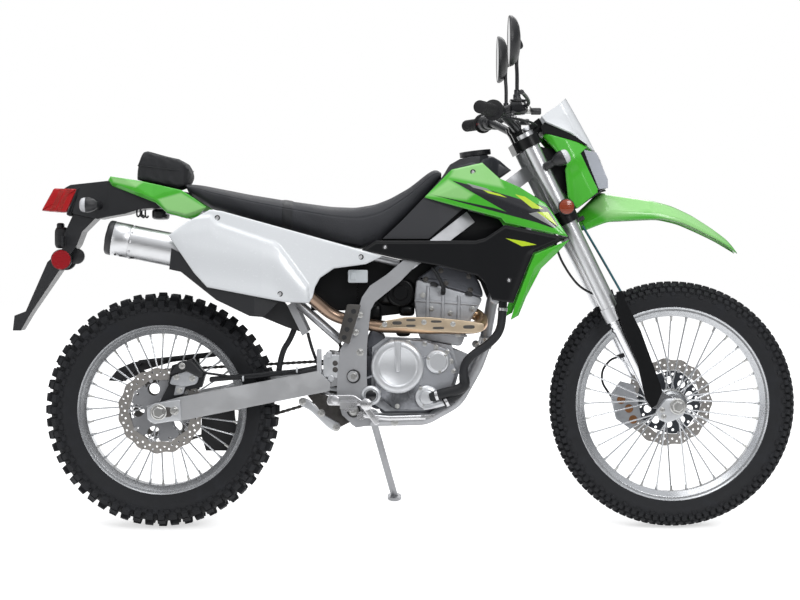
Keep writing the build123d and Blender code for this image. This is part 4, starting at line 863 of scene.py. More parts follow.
def sheet(top, bottom, outer, rows, columns, roll=3.0, thickness=3.5):
    """Points (x, outer(x, z), z), z from the bottom line to the top line, and a layer inside."""
    top, bottom = np.asarray(top, float), np.asarray(bottom, float)
    x = np.linspace(top[0, 0], top[-1, 0], columns)
    x = np.union1d(x, np.concatenate([top[:, 0], bottom[:, 0]]))
    t = spread(rows)
    low, high = np.interp(x, bottom[:, 0], bottom[:, 1]), np.interp(x, top[:, 0], top[:, 1])
    z = low[:, None] + (high - low)[:, None] * t[None, :]
    xx = np.broadcast_to(x[:, None], z.shape)
    near = np.minimum(np.minimum(t[None, :], 1 - t[None, :]) * (high - low)[:, None],
                      np.minimum(xx - x[0], x[-1] - xx) + 0.3)
    fold = roll * rolled(near, roll * 2)
    y = outer(xx, z) - fold
    within = np.stack([xx, y - thickness + fold * 0.6, z], -1)[:, ::-1]
    return capped(np.concatenate([np.stack([xx, y, z], -1), within], axis=1))


def line(points):
    """A height that follows straight pieces through (x, z) points."""
    points = np.asarray(points, float)
    return lambda x: np.interp(x, points[:, 0], points[:, 1])


def wall(stations, low, high):
    """The outer face's y between (x, y at height low, y at height high) stations."""
    s = np.asarray(stations, float)

    def outer(x, z):
        share = np.clip((z - low) / (high - low), 0, 1)
        return (np.interp(x, s[:, 0], s[:, 1]) * (1 - share)
                + np.interp(x, s[:, 0], s[:, 2]) * share)
    return outer


# %% White side covers with their raised pod
cover_wall = wall([(-690, 176, 171), (-600, 184, 154), (-430, 178, 142), (-300, 158, 130),
                   (-150, 126, 114), (-95, 115, 111)], 629, 886)
pod_edge = line([(-690, 860), (-572, 873), (-550, 851), (-396, 798), (-380, 786), (-301, 677),
                 (-296, 600)])
lower_break = line([(-690, 816), (-640, 770), (-400, 728), (-300, 640)])


def cover_outer(x, z):
    """The wall, plus 8 mm for the pod below its edge, less a chamfer under the lower break."""
    pod = step(pod_edge(x) - z, 0, 9) * (1 - step(x, -306, -292))
    under = step(lower_break(x) - z, -25, 60)
    shoulder = step(pod_edge(x) - z, 6, 50)
    return cover_wall(x, z) - 4 + 8 * pod + 3 * shoulder * pod - 7 * under * pod


COVER_TOP = [(-683, 815), (-634, 852), (-573, 886), (-540, 882), (-100, 760)]
COVER_BOTTOM = [(-683, 813), (-614, 712), (-578, 673), (-364, 632), (-300, 629), (-290, 645),
                (-284, 672), (-270, 698), (-232, 724), (-144, 736), (-100, 757)]
show("white_side_covers", sheet(COVER_TOP, COVER_BOTTOM, cover_outer, 60, 130), WHITE, sharp=50,
     replaces="side_covers", both=True)

# %% Tank shrouds, lower panels, fins and tail panels
shroud_wall = wall([(10, 104, 102), (100, 112, 108), (225, 136, 126), (300, 152, 142),
                    (415, 166, 158)], 806, 1022)
SHROUD_TOP = [(19, 922), (93, 998), (178, 1017), (186, 1009), (225, 973), (280, 948), (349, 904),
              (368, 879), (409, 813)]
SHROUD_BOTTOM = [(19, 920), (115, 893), (228, 863), (239, 849), (409, 811)]
shroud_crease = line([(19, 921), (110, 962), (200, 938), (330, 885), (409, 812)])


def shroud_outer(x, z):
    """The wall, drawn in above a crease that runs forward to the tip."""
    above = np.clip(z - shroud_crease(x), 0, 200)
    return shroud_wall(x, z) - 0.22 * above + 2 * step(shroud_crease(x) - z, 0, 14)


show("green_tank_shrouds", sheet(SHROUD_TOP, SHROUD_BOTTOM, shroud_outer, 50, 110), SHROUD,
     sharp=50, replaces="tank_shrouds", both=True)

lower_wall = wall([(-160, 116, 114), (0, 122, 120), (150, 138, 134), (250, 154, 150),
                   (415, 170, 166)], 624, 849)
LOWER_TOP = [(-155, 777), (-116, 801), (159, 801), (184, 808), (239, 844), (409, 809)]
LOWER_BOTTOM = [(-155, 775), (-60, 752), (60, 731), (164, 704), (184, 684), (203, 638), (261, 629),
                (302, 734), (316, 767), (349, 780), (409, 807)]
lower_top = line(LOWER_TOP)


def lower_outer(x, z):
    """The wall with a raised rim along its upper edge and a turned-in front edge."""
    rim = 1 - step(lower_top(x) - z, 4, 9)
    front = step(x - np.interp(z, [629, 734, 767, 808], [258, 297, 309, 400]), -16, 2)
    return lower_wall(x, z) - 2 + 3 * rim - 5 * front * step(820 - z, 0, 30)


show("black_lower_panels", sheet(LOWER_TOP, LOWER_BOTTOM, lower_outer, 54, 130), LOWER_PANEL,
     sharp=50, replaces="side_panels", both=True)

fin_wall = wall([(240, 150, 150), (430, 168, 168)], 580, 804)
FIN_TOP = [(254, 585), (266, 625), (306, 732), (320, 764), (352, 777), (413, 803)]
FIN_BOTTOM = [(254, 583), (276, 595), (296, 645), (337, 724), (379, 765), (413, 801)]
fin_fold = line([(254, 584), (272, 602), (318, 725), (360, 768), (413, 802)])
fin = sheet(FIN_TOP, FIN_BOTTOM,
            lambda x, z: fin_wall(x, z) - 9 * step(fin_fold(x) - z, -3, 22), 24, 90, roll=2)
show("green_shroud_fins", fin, GREEN, sharp=50, replaces="shroud_fins", both=True)

tail_wall = wall([(-870, 82, 78), (-700, 108, 96), (-570, 126, 112)], 857, 985)
TAIL_TOP = [(-860, 970), (-854, 980), (-763, 966), (-655, 941), (-632, 927), (-585, 894)]
TAIL_BOTTOM = [(-860, 968), (-849, 953), (-727, 906), (-694, 877), (-639, 862), (-612, 866),
               (-585, 892)]
tail_chamfer = line([(-860, 969), (-848, 962), (-735, 919), (-697, 889), (-640, 874), (-585, 893)])
tail_facet = line([(-860, 1000), (-735, 922), (-705, 935), (-672, 941), (-640, 960), (-585, 960)])


def tail_outer(x, z):
    """The wall, chamfered inwards under one line and drawn in above a facet's edge."""
    chamfer = np.clip(tail_chamfer(x) - z, 0, 40)
    above = np.clip(z - tail_facet(x), 0, 80) * (x < -672)
    return tail_wall(x, z) - 0.75 * chamfer - 0.25 * above


show("green_tail_panels", sheet(TAIL_TOP, TAIL_BOTTOM, tail_outer, 40, 90, roll=2), TAIL_GREEN,
     sharp=30, replaces="tail_panels", both=True)
print("panels made, the shroud's width at its tip:",
      round(float(shroud_outer(np.array(409.0), np.array(812.0))), 1))

# %% [markdown]
# ## Seat and tool bag
# The seat is foam under a stretched vinyl cover: a crowned body, pulled in at its foot, with a sewn
# seam along each shoulder and a strap across it. The bag behind it is soft, so its sides sag
# between piped edges and a flap lies over its mouth. Both are shells whose section is a
# superellipse, and every fold is one more term in the formula.

# %% Shells between a top and a bottom line
def powered(wave, power):
    """|wave|^power with the sign of wave."""
    return np.sign(wave) * np.abs(wave) ** power


def bell(x, middle, width):
    """A soft ridge: exp(-((x - middle) / width)^2)."""
    return np.exp(-((x - middle) / width) ** 2)


def shell(top, bottom, plan, power=4.0, columns=110, around=72, change=None, ends=0.0, x=None):
    """At each x and angle a: y = half |cos a|^(2/p) and z = middle + rise |sin a|^(2/p), signs
    kept. ends rounds both ends in plan; change(x, y, z, a) moves the finished points."""
    top, bottom, plan = (np.asarray(s, float) for s in (top, bottom, plan))
    if x is None:
        x = spread(columns) * (top[-1, 0] - top[0, 0]) + top[0, 0]
    high, low = np.interp(x, top[:, 0], top[:, 1]), np.interp(x, bottom[:, 0], bottom[:, 1])
    half = np.interp(x, plan[:, 0], plan[:, 1])
    if ends:
        near = np.clip(np.minimum(x - x[0], x[-1] - x) / ends, 0, 1)
        half = half * (0.55 + 0.45 * np.sqrt(1 - (1 - near) ** 2))
    a = circle(around)[None, :] + 0.0 * x[:, None]
    rise, middle = ((high - low) / 2)[:, None], ((high + low) / 2)[:, None]
    y = half[:, None] * powered(np.cos(a), 2 / power)
    z = middle + rise * powered(np.sin(a), 2 / power)
    points = np.stack([x[:, None] + 0 * y, y, z], -1)
    return capped(points if change is None else change(points[..., 0], y, z, a))


def smoothed(points, count, passes):
    """A broken line resampled evenly in x and rounded by averaging neighbours."""
    points = np.asarray(points, float)
    x = np.linspace(points[0, 0], points[-1, 0], count)
    z = np.interp(x, points[:, 0], points[:, 1])
    for _ in range(passes):
        z[1:-1] = (z[:-2] + 2 * z[1:-1] + z[2:]) / 4
    return np.stack([x, z], -1)


# %% The seat, its seam and its strap
SEAT_TOP = smoothed([(-648, 961), (-603, 957), (-465, 930), (-368, 914), (-243, 897), (-174, 894),
                     (-119, 903), (-77, 919), (-22, 950), (33, 994), (56, 1005), (66, 992)],
                    140, 6)
SEAT_FOOT = [(-648, 955), (-638, 932), (-603, 908), (-575, 890), (-464, 857), (-326, 820),
             (-202, 786), (-158, 778), (-130, 786), (-101, 797), (-47, 850), (23, 922), (66, 976)]
SEAT_PLAN = [(-650, 74), (-600, 92), (-430, 112), (-260, 108), (-120, 88), (0, 74), (70, 64)]
SEAM_HEIGHT = 0.52
SEAT_LINES = (SEAT_TOP, SEAT_FOOT, SEAT_PLAN, 3.6)


def seat_form(x, y, z, a, grow=0.0):
    """The foot drawn in, a 2 mm groove at the seam, and slow waves where vinyl is stretched."""
    up = np.sin(a)
    share = powered(up, 0.5)
    tuck = 1 - 0.09 * step(-share, -0.1, 1.0)
    seam = bell(share, SEAM_HEIGHT, 0.035)
    side = step(np.abs(np.cos(a)), 0.2, 0.6)
    y = y * tuck - np.sign(y) * (2.2 * seam * side) + np.sign(y) * grow * side
    waves = (0.8 * np.sin(x / 21 + 2.2 * share) * side * step(share, -0.9, 0)
             + 0.2 * np.sin(x / 9.0 + 5 * share) * side)
    crown = 5 * (np.abs(y) / 110) ** 2 * step(up, 0, 0.6)
    z = z + grow * np.sign(up) * (1 - side) - 1.5 * seam * (1 - side) - crown
    return np.stack([x, y + np.sign(y) * waves, z], -1)


def vinyl(name, shade, rough, scale):
    """Coated fabric: a leather grain of shallow cells, paler where the pebbles stand up."""
    f = Finish(name)
    shade = colour(*shade)
    pebbles = f.cells(scale)
    rubbed = f.noise(6, 3).rises(0.35, 0.75)
    tint = f.mix(rubbed * 0.5 + pebbles * 0.4, shade, scaled(shade, 1.5))
    return f.done(Base_Color=tint, Roughness=rubbed * 0.08 + (rough - 0.03),
                  Normal=f.bumps(pebbles * 0.5 + f.noise(30, 3) * 0.8, 0.0012, 0.0015),
                  Specular_IOR_Level=0.4)


SEAT_VINYL = vinyl("seat_vinyl", (40, 41, 45), 0.55, 520)
SEAT_RIB = vinyl("strap_vinyl", (30, 31, 34), 0.45, 900)
BAG_CLOTH = vinyl("bag_fabric", (27, 28, 31), 0.6, 1200)
seat = show("seat_cushion", shell(*SEAT_LINES, 230, 120, seat_form), SEAT_VINYL, sharp=60,
            replaces="seat")
STRAP_X, STRAP_HALF = -361.5, 15.5
band_x = np.linspace(STRAP_X - STRAP_HALF, STRAP_X + STRAP_HALF, 17)
proud = 2.6 * (1 - np.abs((band_x - STRAP_X) / STRAP_HALF) ** 4)[:, None] - 0.4
strap = shell(*SEAT_LINES, around=120, x=band_x, change=lambda *p: seat_form(*p, proud))
show("seat_strap", strap, SEAT_RIB, sharp=60)
print("seat length in mm:", round(float(SEAT_TOP[-1, 0] - SEAT_TOP[0, 0])))

# %% The tool bag and the carrier it stands on
CARRIER = [(-768, 962), (-640, 936), (-632, 924), (-700, 930), (-768, 944)]
show("bag_carrier", slab(CARRIER, -62, 62), BLACK)
BAG_TOP = smoothed([(-783, 980), (-780, 1004), (-771, 1032), (-764, 1046), (-752, 1049),
                    (-720, 1041), (-665, 1028), (-646, 1016), (-635, 998), (-631, 985)], 90, 2)
BAG_FOOT = [(-783, 972), (-740, 962), (-668, 945), (-650, 951), (-638, 965), (-631, 978)]
BAG_PLAN = [(-783, 76), (-772, 84), (-650, 86), (-631, 68)]
FLAP_PROUD = 2.2
bag_half, bag_crest = line(BAG_PLAN), line(BAG_TOP)
flap_line = line([(-783, 1011), (-700, 1001), (-669, 995), (-631, 1001)])


def bag_form(x, y, z, a):
    """Sides that belly out by 3 mm between piped edges, soft creases, and a flap 2 mm proud."""
    side = step(np.abs(np.cos(a)), 0.3, 0.75)
    share = powered(np.sin(a), 0.5)
    along = np.clip((x + 783) / 152, 0, 1) * math.pi
    belly = 3.0 * side * np.cos(share * 1.4) * np.sin(along)
    crease = 1.3 * np.sin(x / 6.5 + 7 * share) * np.sin(x / 17 - 3 * share) * side
    over = step(z - flap_line(x), -1.0, 1.0) * FLAP_PROUD
    piping = bell(share, 0.93, 0.05) + bell(share, -0.93, 0.06)
    dimple = -5.0 * np.exp(-((x + 690) / 34) ** 2 - (y / 60) ** 2) * step(share, 0.8, 1)
    out = belly + crease + over * side + 1.2 * piping - 3
    return np.stack([x, y + np.sign(y) * out, z + dimple + over * (1 - side) * (share > 0)], -1)


bag = show("tool_bag_shell", shell(BAG_TOP, BAG_FOOT, BAG_PLAN, 8.0, 120, 112, bag_form, 12),
           BAG_CLOTH, sharp=60, replaces="tool_bag")
for side in (1, -1):
    piping = [(x, side * (bag_half(x) - 6), bag_crest(x) - 5)
              for x in (-777, -769, -758, -720, -670, -648, -637)]
    hem = [(x, side * (bag_half(x) + 1.2), flap_line(x))
           for x in (-778, -750, -710, -681, -660, -636)]
    show(f"bag_piping_{side + 2}", tube(piping, 1.8, 10, 60), SEAT_RIB, sharp=80)
    show(f"bag_flap_hem_{side + 2}", tube(hem, 1.3, 10, 60), SEAT_RIB, sharp=80)

# %% [markdown]
# ## Fender, headlight and visor
# What turns with the fork is drawn in the fork's frame: u forward, w up along the steering axis.
# The high fender is a folded sheet, so its section is a few corner points that slide along two edge
# lines. The headlight has a dark bezel, a bright bowl behind it and a clear outer lens.

# %% The high front fender
FENDER = np.array([  # crest u, w, lower edge u, w, half width
    (57, 598, 55, 545, 56), (107, 614, 107, 541, 64), (135, 625, 133, 535, 70),
    (166, 605, 172, 518, 72), (212, 573, 217, 499, 72), (258, 540, 262, 479, 71),
    (303, 501, 306, 443, 65), (342, 453, 345, 396, 56), (377, 396, 377, 354, 45),
    (401, 350, 399, 319, 36), (409, 322, 408, 304, 29), (411, 304, 410, 300, 24)], float)
SECTION = np.array([(0.0, 0.96), (0.06, 1.0), (0.3, 0.98), (0.38, 0.93), (0.9, 0.52),
                    (0.99, 0.25), (1.0, 0.0)])            # share of the way up, share of the width


def along_table(table, t):
    """The columns of a table at row numbers t, each as a column of its own."""
    return [np.interp(t, np.arange(len(table)), column)[:, None] for column in np.transpose(table)]


def skinned(outside, inner):
    """An outer layer and an inner one as one closed skin, open at its two ends."""
    return np.concatenate([outside, inner[:, ::-1]], axis=1)


def fender_sheet():
    """Rows along the fender; in each, points go between the two edge lines as the section says."""
    rows = np.concatenate(along_table(FENDER, np.linspace(0, len(FENDER) - 1, 120)), axis=1)
    for _ in range(10):
        rows[1:-1] = (rows[:-2] + 2 * rows[1:-1] + rows[2:]) / 4
    s = np.concatenate([np.linspace(0, 0.6, 14), np.linspace(0.62, 1, 12)])
    share, out = (np.interp(s, np.linspace(0, 1, len(SECTION)), column) for column in SECTION.T)
    share, out = np.concatenate([share, share[-2::-1]]), np.concatenate([-out, out[-2::-1]])
    crest, edge, v = rows[:, None, 0:2], rows[:, None, 2:4], rows[:, None, 4] * out[None, :]
    u, w = np.moveaxis(edge + (crest - edge) * share[None, :, None], -1, 0)
    u_in, w_in = np.moveaxis(edge + (crest - edge) * (share[None, :, None] * 0.94), -1, 0)
    skin = skinned(np.stack([u, v, w], -1),
                   np.stack([u_in - 1.5, v * 0.955, w_in - 1.0 * (share[None, :] > 0.1)], -1))
    ends = [0.5 * (row + row[:, ::-1]) for row in (skin[:1], skin[-1:])]
    return grid(np.concatenate([ends[0], skin, ends[1]]), around=True)


steer("high_front_fender", fender_sheet(), FENDER_GREEN, sharp=28, replaces="front_fender")
steer("fender_mount_plate", slab([(-8, 574), (66, 574), (66, 585.7), (-8, 585.7)], -57, 57), BLACK,
      sharp=30)

# %% Headlight bowl, bezel and lens
LENS_ROWS = np.array([  # w, front u, rear u, half width
    (621, 150, 128, 60), (625, 163, 129, 70), (650, 172, 131, 76), (678, 178, 131, 79),
    (700, 181, 131, 79), (719, 181, 132, 78), (733, 168, 134, 76), (738, 158, 136, 70)], float)


def wrap_face(rows, grow=0.0):
    """A face that wraps round both sides: u falls from front to rear where it turns the corner."""
    s = np.linspace(-1, 1, 46)[None, :]
    w, front, rear, half = (rows[:, k:k + 1] for k in range(4))
    turn = np.clip((np.abs(s) - 0.55) / 0.45, 0, 1)
    across = np.sign(s) * np.minimum(np.abs(s) / 0.62, 1) ** 0.9
    u = front - 10 * across ** 2 - (front - 10 - rear) * turn ** 1.2
    return np.stack([u + grow, (half + grow) * across, w + 0 * s], -1)


w = np.linspace(621, 738, 34)
rows = np.stack([w, *(np.interp(w, LENS_ROWS[:, 0], LENS_ROWS[:, k]) for k in (1, 2, 3))], -1)
steer("headlight_glass", grid(skinned(wrap_face(rows), wrap_face(rows, -4)), around=True),
      CLEAR_LENS, replaces="headlight_lens")
s, t = np.meshgrid(circle(48), np.linspace(0, 1, 14), indexing="ij")
deep = 34 * (1 - t ** 2)
bowl = np.stack([160 - deep - 8 * (1 - t), 56 * t * np.cos(s), 682 + 44 * t * np.sin(s)], -1)
steer("headlight_bowl", grid(bowl.transpose(1, 0, 2), around=True), CHROME, sharp=60)
steer("headlight_bulb", lump((11, 9, 9), (138, 0, 684), 2.2), CLEAR_LENS)
c, s = np.cos(s[:, 0]), np.sin(s[:, 0])
rim = np.stack([160 + 0 * c, 57 * c, 682 + 45 * s], -1)
bezel = np.stack([158 - 10 * np.abs(c) ** 3, 72 * powered(c, 0.35), 679 + 52 * powered(s, 0.35)],
                 -1)
walls = np.stack([bezel - (26, 0, 0), bezel, rim, rim - (6, 0, 0)])
steer("headlight_bezel", grid(walls, around=True), DEEP_BLACK)

# %% The cowl's two cheeks
CHEEK_REAR = [(611, 53), (649, 44), (722, 71), (730, 80), (778, 72), (831, 58), (836, 66)]
CHEEK_FRONT = [(611, 55), (621, 100), (626, 126), (634, 131), (744, 131), (752, 158), (771, 143),
               (836, 70)]
CHEEK_FOOT, CHEEK_HEAD, CHEEK_ROLL = 611, 836, 4
cheek_rear, cheek_front = line(CHEEK_REAR), line(CHEEK_FRONT)
cheek_plan = line([(30, 113), (110, 110), (170, 84)])
cheek_crease = line([(44, 640), (80, 735), (120, 745), (166, 715)])


def cheek():
    """Rows up the cheek and columns forward; drawn in above a crease, its rim rolled in."""
    w = np.unique([*np.linspace(CHEEK_FOOT, CHEEK_HEAD, 70),
                   *(float(corner[0]) for corner in CHEEK_REAR + CHEEK_FRONT)])
    u0, u1 = cheek_rear(w), cheek_front(w)
    t = spread(34)
    u = u0[:, None] + (u1 - u0)[:, None] * t
    ww = np.broadcast_to(w[:, None], u.shape)
    near = np.minimum(np.minimum(t, 1 - t)[None, :] * (u1 - u0)[:, None],
                      np.minimum(w - CHEEK_FOOT, CHEEK_HEAD - w)[:, None] + 0.3)
    fold = CHEEK_ROLL * rolled(near, 7)
    above = np.clip(ww - cheek_crease(u), 0, 200)
    v = cheek_plan(u) - 1 - fold - 0.2 * above - 6 * step(cheek_crease(u) - ww, 0, 50)
    return capped(skinned(np.stack([u, v, ww], -1), np.stack([u, v - 4 + fold * 0.5, ww], -1)))


steer("headlight_cheeks", cheek(), GREEN, replaces="headlight_cowl", both=True)


# %% The cowl's top and chin, and what fills its sides
def face(outline, rows, half=80, back=0.0, crown=0.0):
    """A front face between two corners of the side outline, bowed in plan by crown half s^4."""
    outline = np.asarray(outline, float)
    last = len(outline) - 1
    t, s = np.meshgrid(np.linspace(0, last, rows), np.linspace(-1, 1, 40), indexing="ij")
    u = np.interp(t, np.arange(last + 1), outline[:, 0]) - crown * half * s ** 4 - back
    w = np.interp(t, np.arange(last + 1), outline[:, 1])
    return np.stack([u, half * s * (1 - 0.14 * step(t / last, 0.55, 1.0)), w], -1)


OVER_LINE = [(66, 836), (92, 815), (118, 793), (143, 771), (158, 753), (165, 737)]
CHIN_LINE = [(150, 619), (134, 622), (100, 618), (60, 610)]
over = skinned(face(OVER_LINE, 24, crown=0.05), face(OVER_LINE, 24, back=5, crown=0.05))
steer("headlight_cowl_top", grid(over, around=True), GREEN)
chin = skinned(face(CHIN_LINE, 16), face(CHIN_LINE, 16) + (0, 0, 5))
steer("headlight_chin", grid(chin, around=True), BLACK)
HOUSING = [(72, 640), (128, 634), (160, 734), (150, 752), (90, 800), (80, 730)]
steer("headlight_housing", slab(HOUSING, 60, 84), DEEP_BLACK, sharp=30, both=True)
SIDE_GLASS = [(144, 750), (172, 727), (168, 646), (158, 624), (134, 633), (139, 702)]
steer("headlight_side_glass", slab(SIDE_GLASS, 80, 86.5), LAMP_SIDE_LENS, sharp=30, both=True)
LAMP_BRACKET = [(300, 1072), (339, 1064), (395, 1052), (418, 1000), (416, 925), (396, 950),
                (345, 1030)]
show("headlight_bracket", slab(LAMP_BRACKET, 52, 64), DEEP_BLACK, "fork", sharp=30, both=True)

# %% The white visor above
VISOR = [  # rear u, w, v; crease u, w, v; front u, w
    (170, 737, 60, 174, 735, 40, 178, 731), (148, 778, 84, 158, 771, 57, 178, 770),
    (135, 806, 93, 146, 802, 65, 176, 810), (83, 866, 98, 143, 862, 67, 173, 862),
    (79, 884, 97, 144, 894, 62, 170, 902)]
rear_u, rear_w, rear_v, fold_u, fold_w, fold_v, front_u, front_w = along_table(
    VISOR, np.linspace(0, 4, 50))
share, angle = np.linspace(0, 1, 16)[None, :], np.linspace(0, math.pi / 2, 16)[None, :]
flank = np.stack([rear_u + (fold_u - rear_u) * share, rear_v + (fold_v - rear_v) * share,
                  rear_w + (fold_w - rear_w) * share], -1)
brow = np.stack([fold_u + (front_u - fold_u) * np.sin(angle), fold_v * np.cos(angle) ** 0.9,
                 fold_w + (front_w - fold_w) * np.sin(angle)], -1)
half_visor = np.concatenate([flank, brow[:, 1:]], axis=1)
full = np.concatenate([half_visor, (half_visor * (1, -1, 1))[:, -2::-1]], axis=1)
steer("white_visor", grid(skinned(full, full * (1, 0.96, 1) - (3, 0, 2)), around=True), WHITE,
      sharp=28, replaces="screen")
print("front pieces made")

# %% [markdown]
# ## Engine, shock and cooling
# The engine's outer covers are castings: plates with rounded rims, round bosses turned on a lathe,
# ribs, and a bolt at every corner. One helper rounds the rim of any outline, and one makes a
# flanged bolt, so a cover is a short list of places. Outlines are corners (x, z) in side view, and
# a plate goes from one y to another; places are (x, z, y).

# %% Rounded plates and flanged bolts
def inset(outline, distance):
    """A side outline moved inwards: each corner goes along the sum of its two edges' normals."""
    ring = np.asarray(outline, float)
    edges = ring - np.roll(ring, 1, axis=0), np.roll(ring, -1, axis=0) - ring
    n1, n2 = (np.stack([-e[:, 1], e[:, 0]], -1) / np.linalg.norm(e, axis=1, keepdims=True)
              for e in edges)
    miter = (n1 + n2) / np.maximum(1 + (n1 * n2).sum(1, keepdims=True), 0.3)
    x, z = ring.T
    turn = np.sign((x * np.roll(z, -1) - np.roll(x, -1) * z).sum())
    return ring + miter * turn * distance


def rounded_outline(outline, radius):
    """Each corner of an outline replaced by a short quadratic curve of five points."""
    ring = np.asarray(outline, float)

    def toward(end):
        run = end - ring
        return ring + run * np.minimum(radius / np.linalg.norm(run, axis=1, keepdims=True), 0.45)

    a, b = (toward(np.roll(ring, way, axis=0))[:, None] for way in (1, -1))
    t = np.linspace(0, 1, 5)[None, :, None]
    return ((1 - t) ** 2 * a + 2 * t * (1 - t) * ring[:, None] + t ** 2 * b).reshape(-1, 2)


def plate(outline, low, high, rim=4.0, corner=8):
    """A plate whose rim is a quarter circle: at angle t the outline is inset by rim (1 - sin t)."""
    ring = rounded_outline(outline, corner)
    t = np.linspace(0, math.pi / 2, 5)
    deep, over = rim * (1 - np.sin(t)), rim * (1 - np.cos(t))
    middle = ring.mean(0)
    ends = [np.tile([middle[0], y, middle[1]], (len(ring), 1)) for y in (low, high)]
    layers = [np.insert(inset(ring, depth), 1, y, axis=1)
              for depth, y in [*zip(deep, low + over), *zip(deep[::-1], high - over[::-1])]]
    return grid(np.stack([ends[0], *layers, ends[1]]), around=True)


def bolt(x, z, y, size=6.0, side=-1):
    """A flanged hexagon bolt, as high as 0.86 of its size, with a washer face."""
    washer = [(1.5, 0), (1.5, 0.14), (1.3, 0.26), (0, 0.26)]
    head = [(1.1, 0.2), (1.1, 0.72), (0.9, 0.86), (0, 0.86)]
    return stack(disc(size * np.array(washer), x, z, y, side, 24),
                 disc(size * np.array(head), x, z, y, side, 6))


def bolts(name, places, size, material=ZINC, both=False):
    """Bolts of one size at places on the right, and mirrored where both is set."""
    show(name, stack(*[bolt(*place, size) for place in places]), material, sharp=30, both=both)


def ring_of(x, z, y, radius, angles):
    """Places on a circle in side view."""
    return [(x + radius * math.cos(a), z + radius * math.sin(a), y) for a in angles]


def casting(name, material, *shapes, sharp=35, **how):
    """Several shapes as one object with crisp edges."""
    return show(name, stack(*shapes), material, sharp=sharp, **how)


# %% Clutch side
COVER_LINE = [(-122, 495), (-75, 529), (20, 524), (88, 500), (108, 440), (88, 372), (22, 336),
              (-60, 334), (-118, 378)]
CLUTCH, CLUTCH_Y = (-56, 452), -102
casting("clutch_cover", CASE, plate(COVER_LINE, CLUTCH_Y, -79.5, 5, 16),
        plate(inset(COVER_LINE, -3.5), -86, -79, 2, 16), replaces="engine_covers")
CLUTCH_CAP = [(74, -2), (74, 4), (72, 8), (68, 11), (63, 12.5), (56, 13), (53.5, 12.4), (51, 9.6),
              (50, 9), (0, 9)]
FILTER_CAP = [(33, -2), (33, 6), (30, 9), (27, 10.5), (25, 10.5), (23, 12), (0, 12)]
PUMP_CAP = [(33, -2), (32, 7), (27, 11), (22, 12), (19, 17), (14, 18.5), (0, 18.5)]
WINDOW_RING = [(27, -9), (27, 3), (24, 6), (20, 7), (18, 3), (0, 3)]
casting("clutch_and_pump_covers", COVER, disc(CLUTCH_CAP, *CLUTCH, CLUTCH_Y, steps=96),
        plate([(-66, 523), (-46, 523), (-50, 438), (-62, 438)], -116.5, -110, 3, 5),
        disc(FILTER_CAP, 55, 466, CLUTCH_Y), disc(PUMP_CAP, 25, 368, CLUTCH_Y),
        disc(WINDOW_RING, -130, 373, -109))
ribs = [pipe([(CLUTCH[0] + r * math.cos(a), -101.5, CLUTCH[1] + r * math.sin(a))
              for r in (70, 82, 94)], 3.2, 8)
        for a in np.radians([200, 232, 262, 292, 322, 20])]
casting("clutch_cover_ribs", CASE, *ribs, sharp=60)
corner_places = [(x, z, CLUTCH_Y) for x, z in inset(COVER_LINE, 9)]
edge = inset(COVER_LINE, 7)
middle_places = [(x, z, CLUTCH_Y) for x, z in (edge + np.roll(edge, -1, axis=0)) / 2]
bolts("clutch_cover_bolts", corner_places + middle_places[1:4], 5.0)
casting("clutch_cover_bosses", CASE, *[disc([(9, -3), (9, 0.6), (8, 1.2), (0, 1.2)], *place,
                                            steps=24) for place in corner_places])
bolts("filter_and_pump_bolts", ring_of(55, 466, -110, 27, (0.7, 2.8, 4.9))
      + ring_of(25, 372, -112, 27, (0.2, 2.3, 4.4)), 3.8)
casting("oil_window", GLOSS_BLACK, disc([(15, -3), (15, 2), (13, 3), (0, 3.4)], -130, 373, -112.5,
                                        steps=32), sharp=40)
casting("generator_cover", COVER,
        disc([(61, -2), (61, 8), (57, 12), (40, 14), (38, 16), (0, 16)], 10, 430, 92, 1, 72),
        disc([(16, -1), (16, 3), (13, 5), (0, 5)], 10, 430, 107, 1, 32),
        plate([(-130, 398), (-58, 398), (-58, 470), (-130, 476)], 86, 92.5, 2, 8))
left_places = ring_of(10, 430, 103, 52, np.radians([20, 80, 140, 200, 260, 320]))
casting("generator_bolts", ZINC, *[bolt(*place, 4.5, 1) for place in left_places], sharp=30)
print("covers made, bolts on the clutch side:", len(corner_places) + 3)

# %% Cylinder and head
HEAD_DARK = [(-4, 694), (17, 709), (53, 734), (146, 717), (168, 694), (182, 656), (179, 641),
             (20, 689)]
HEAD_SILVER = [(-4, 695), (181, 642), (171, 620), (146, 577), (121, 507), (6, 527), (2, 551),
               (-9, 633)]
CYLINDER_RIBS = [(22, 560, 676), (64, 552, 664), (108, 545, 650)]
FLANGES = [(z, 168 - (632 - z) * 0.35) for z in (632, 545)]
casting("cylinder_and_head", CAST, plate(HEAD_SILVER, -72, 62, 5, 12),
        *[plate([(x, low), (x + 9, low - 2), (x + 11, high - 3), (x + 2, high)], -78, -64, 3, 4)
          for x, low, high in CYLINDER_RIBS],
        *[plate([(-9, z), (end, z - 12), (end, z - 6), (-9, z + 6)], -76, 66, 2, 2)
          for z, end in FLANGES], replaces="cylinder_head")
casting("rocker_cover", DARK_CAST, plate(HEAD_DARK, -76, 66, 7, 14),
        plate([(40, 720), (60, 741), (140, 726), (150, 705)], -52, 44, 6, 10))
bolts("rocker_cover_bolts", [(22, 694, -76), (78, 682, -76), (146, 664, -76), (64, 718, -76),
                             (142, 702, -76)], 5, DARK_STEEL, both=True)
casting("head_plugs", BLACK, *[plate([(x, z), (x + 22, z - 5), (x + 20, z + 8), (x + 3, z + 12)],
                                     -78.5, -70, 2, 6) for x, z in ((34, 676), (131, 650))])
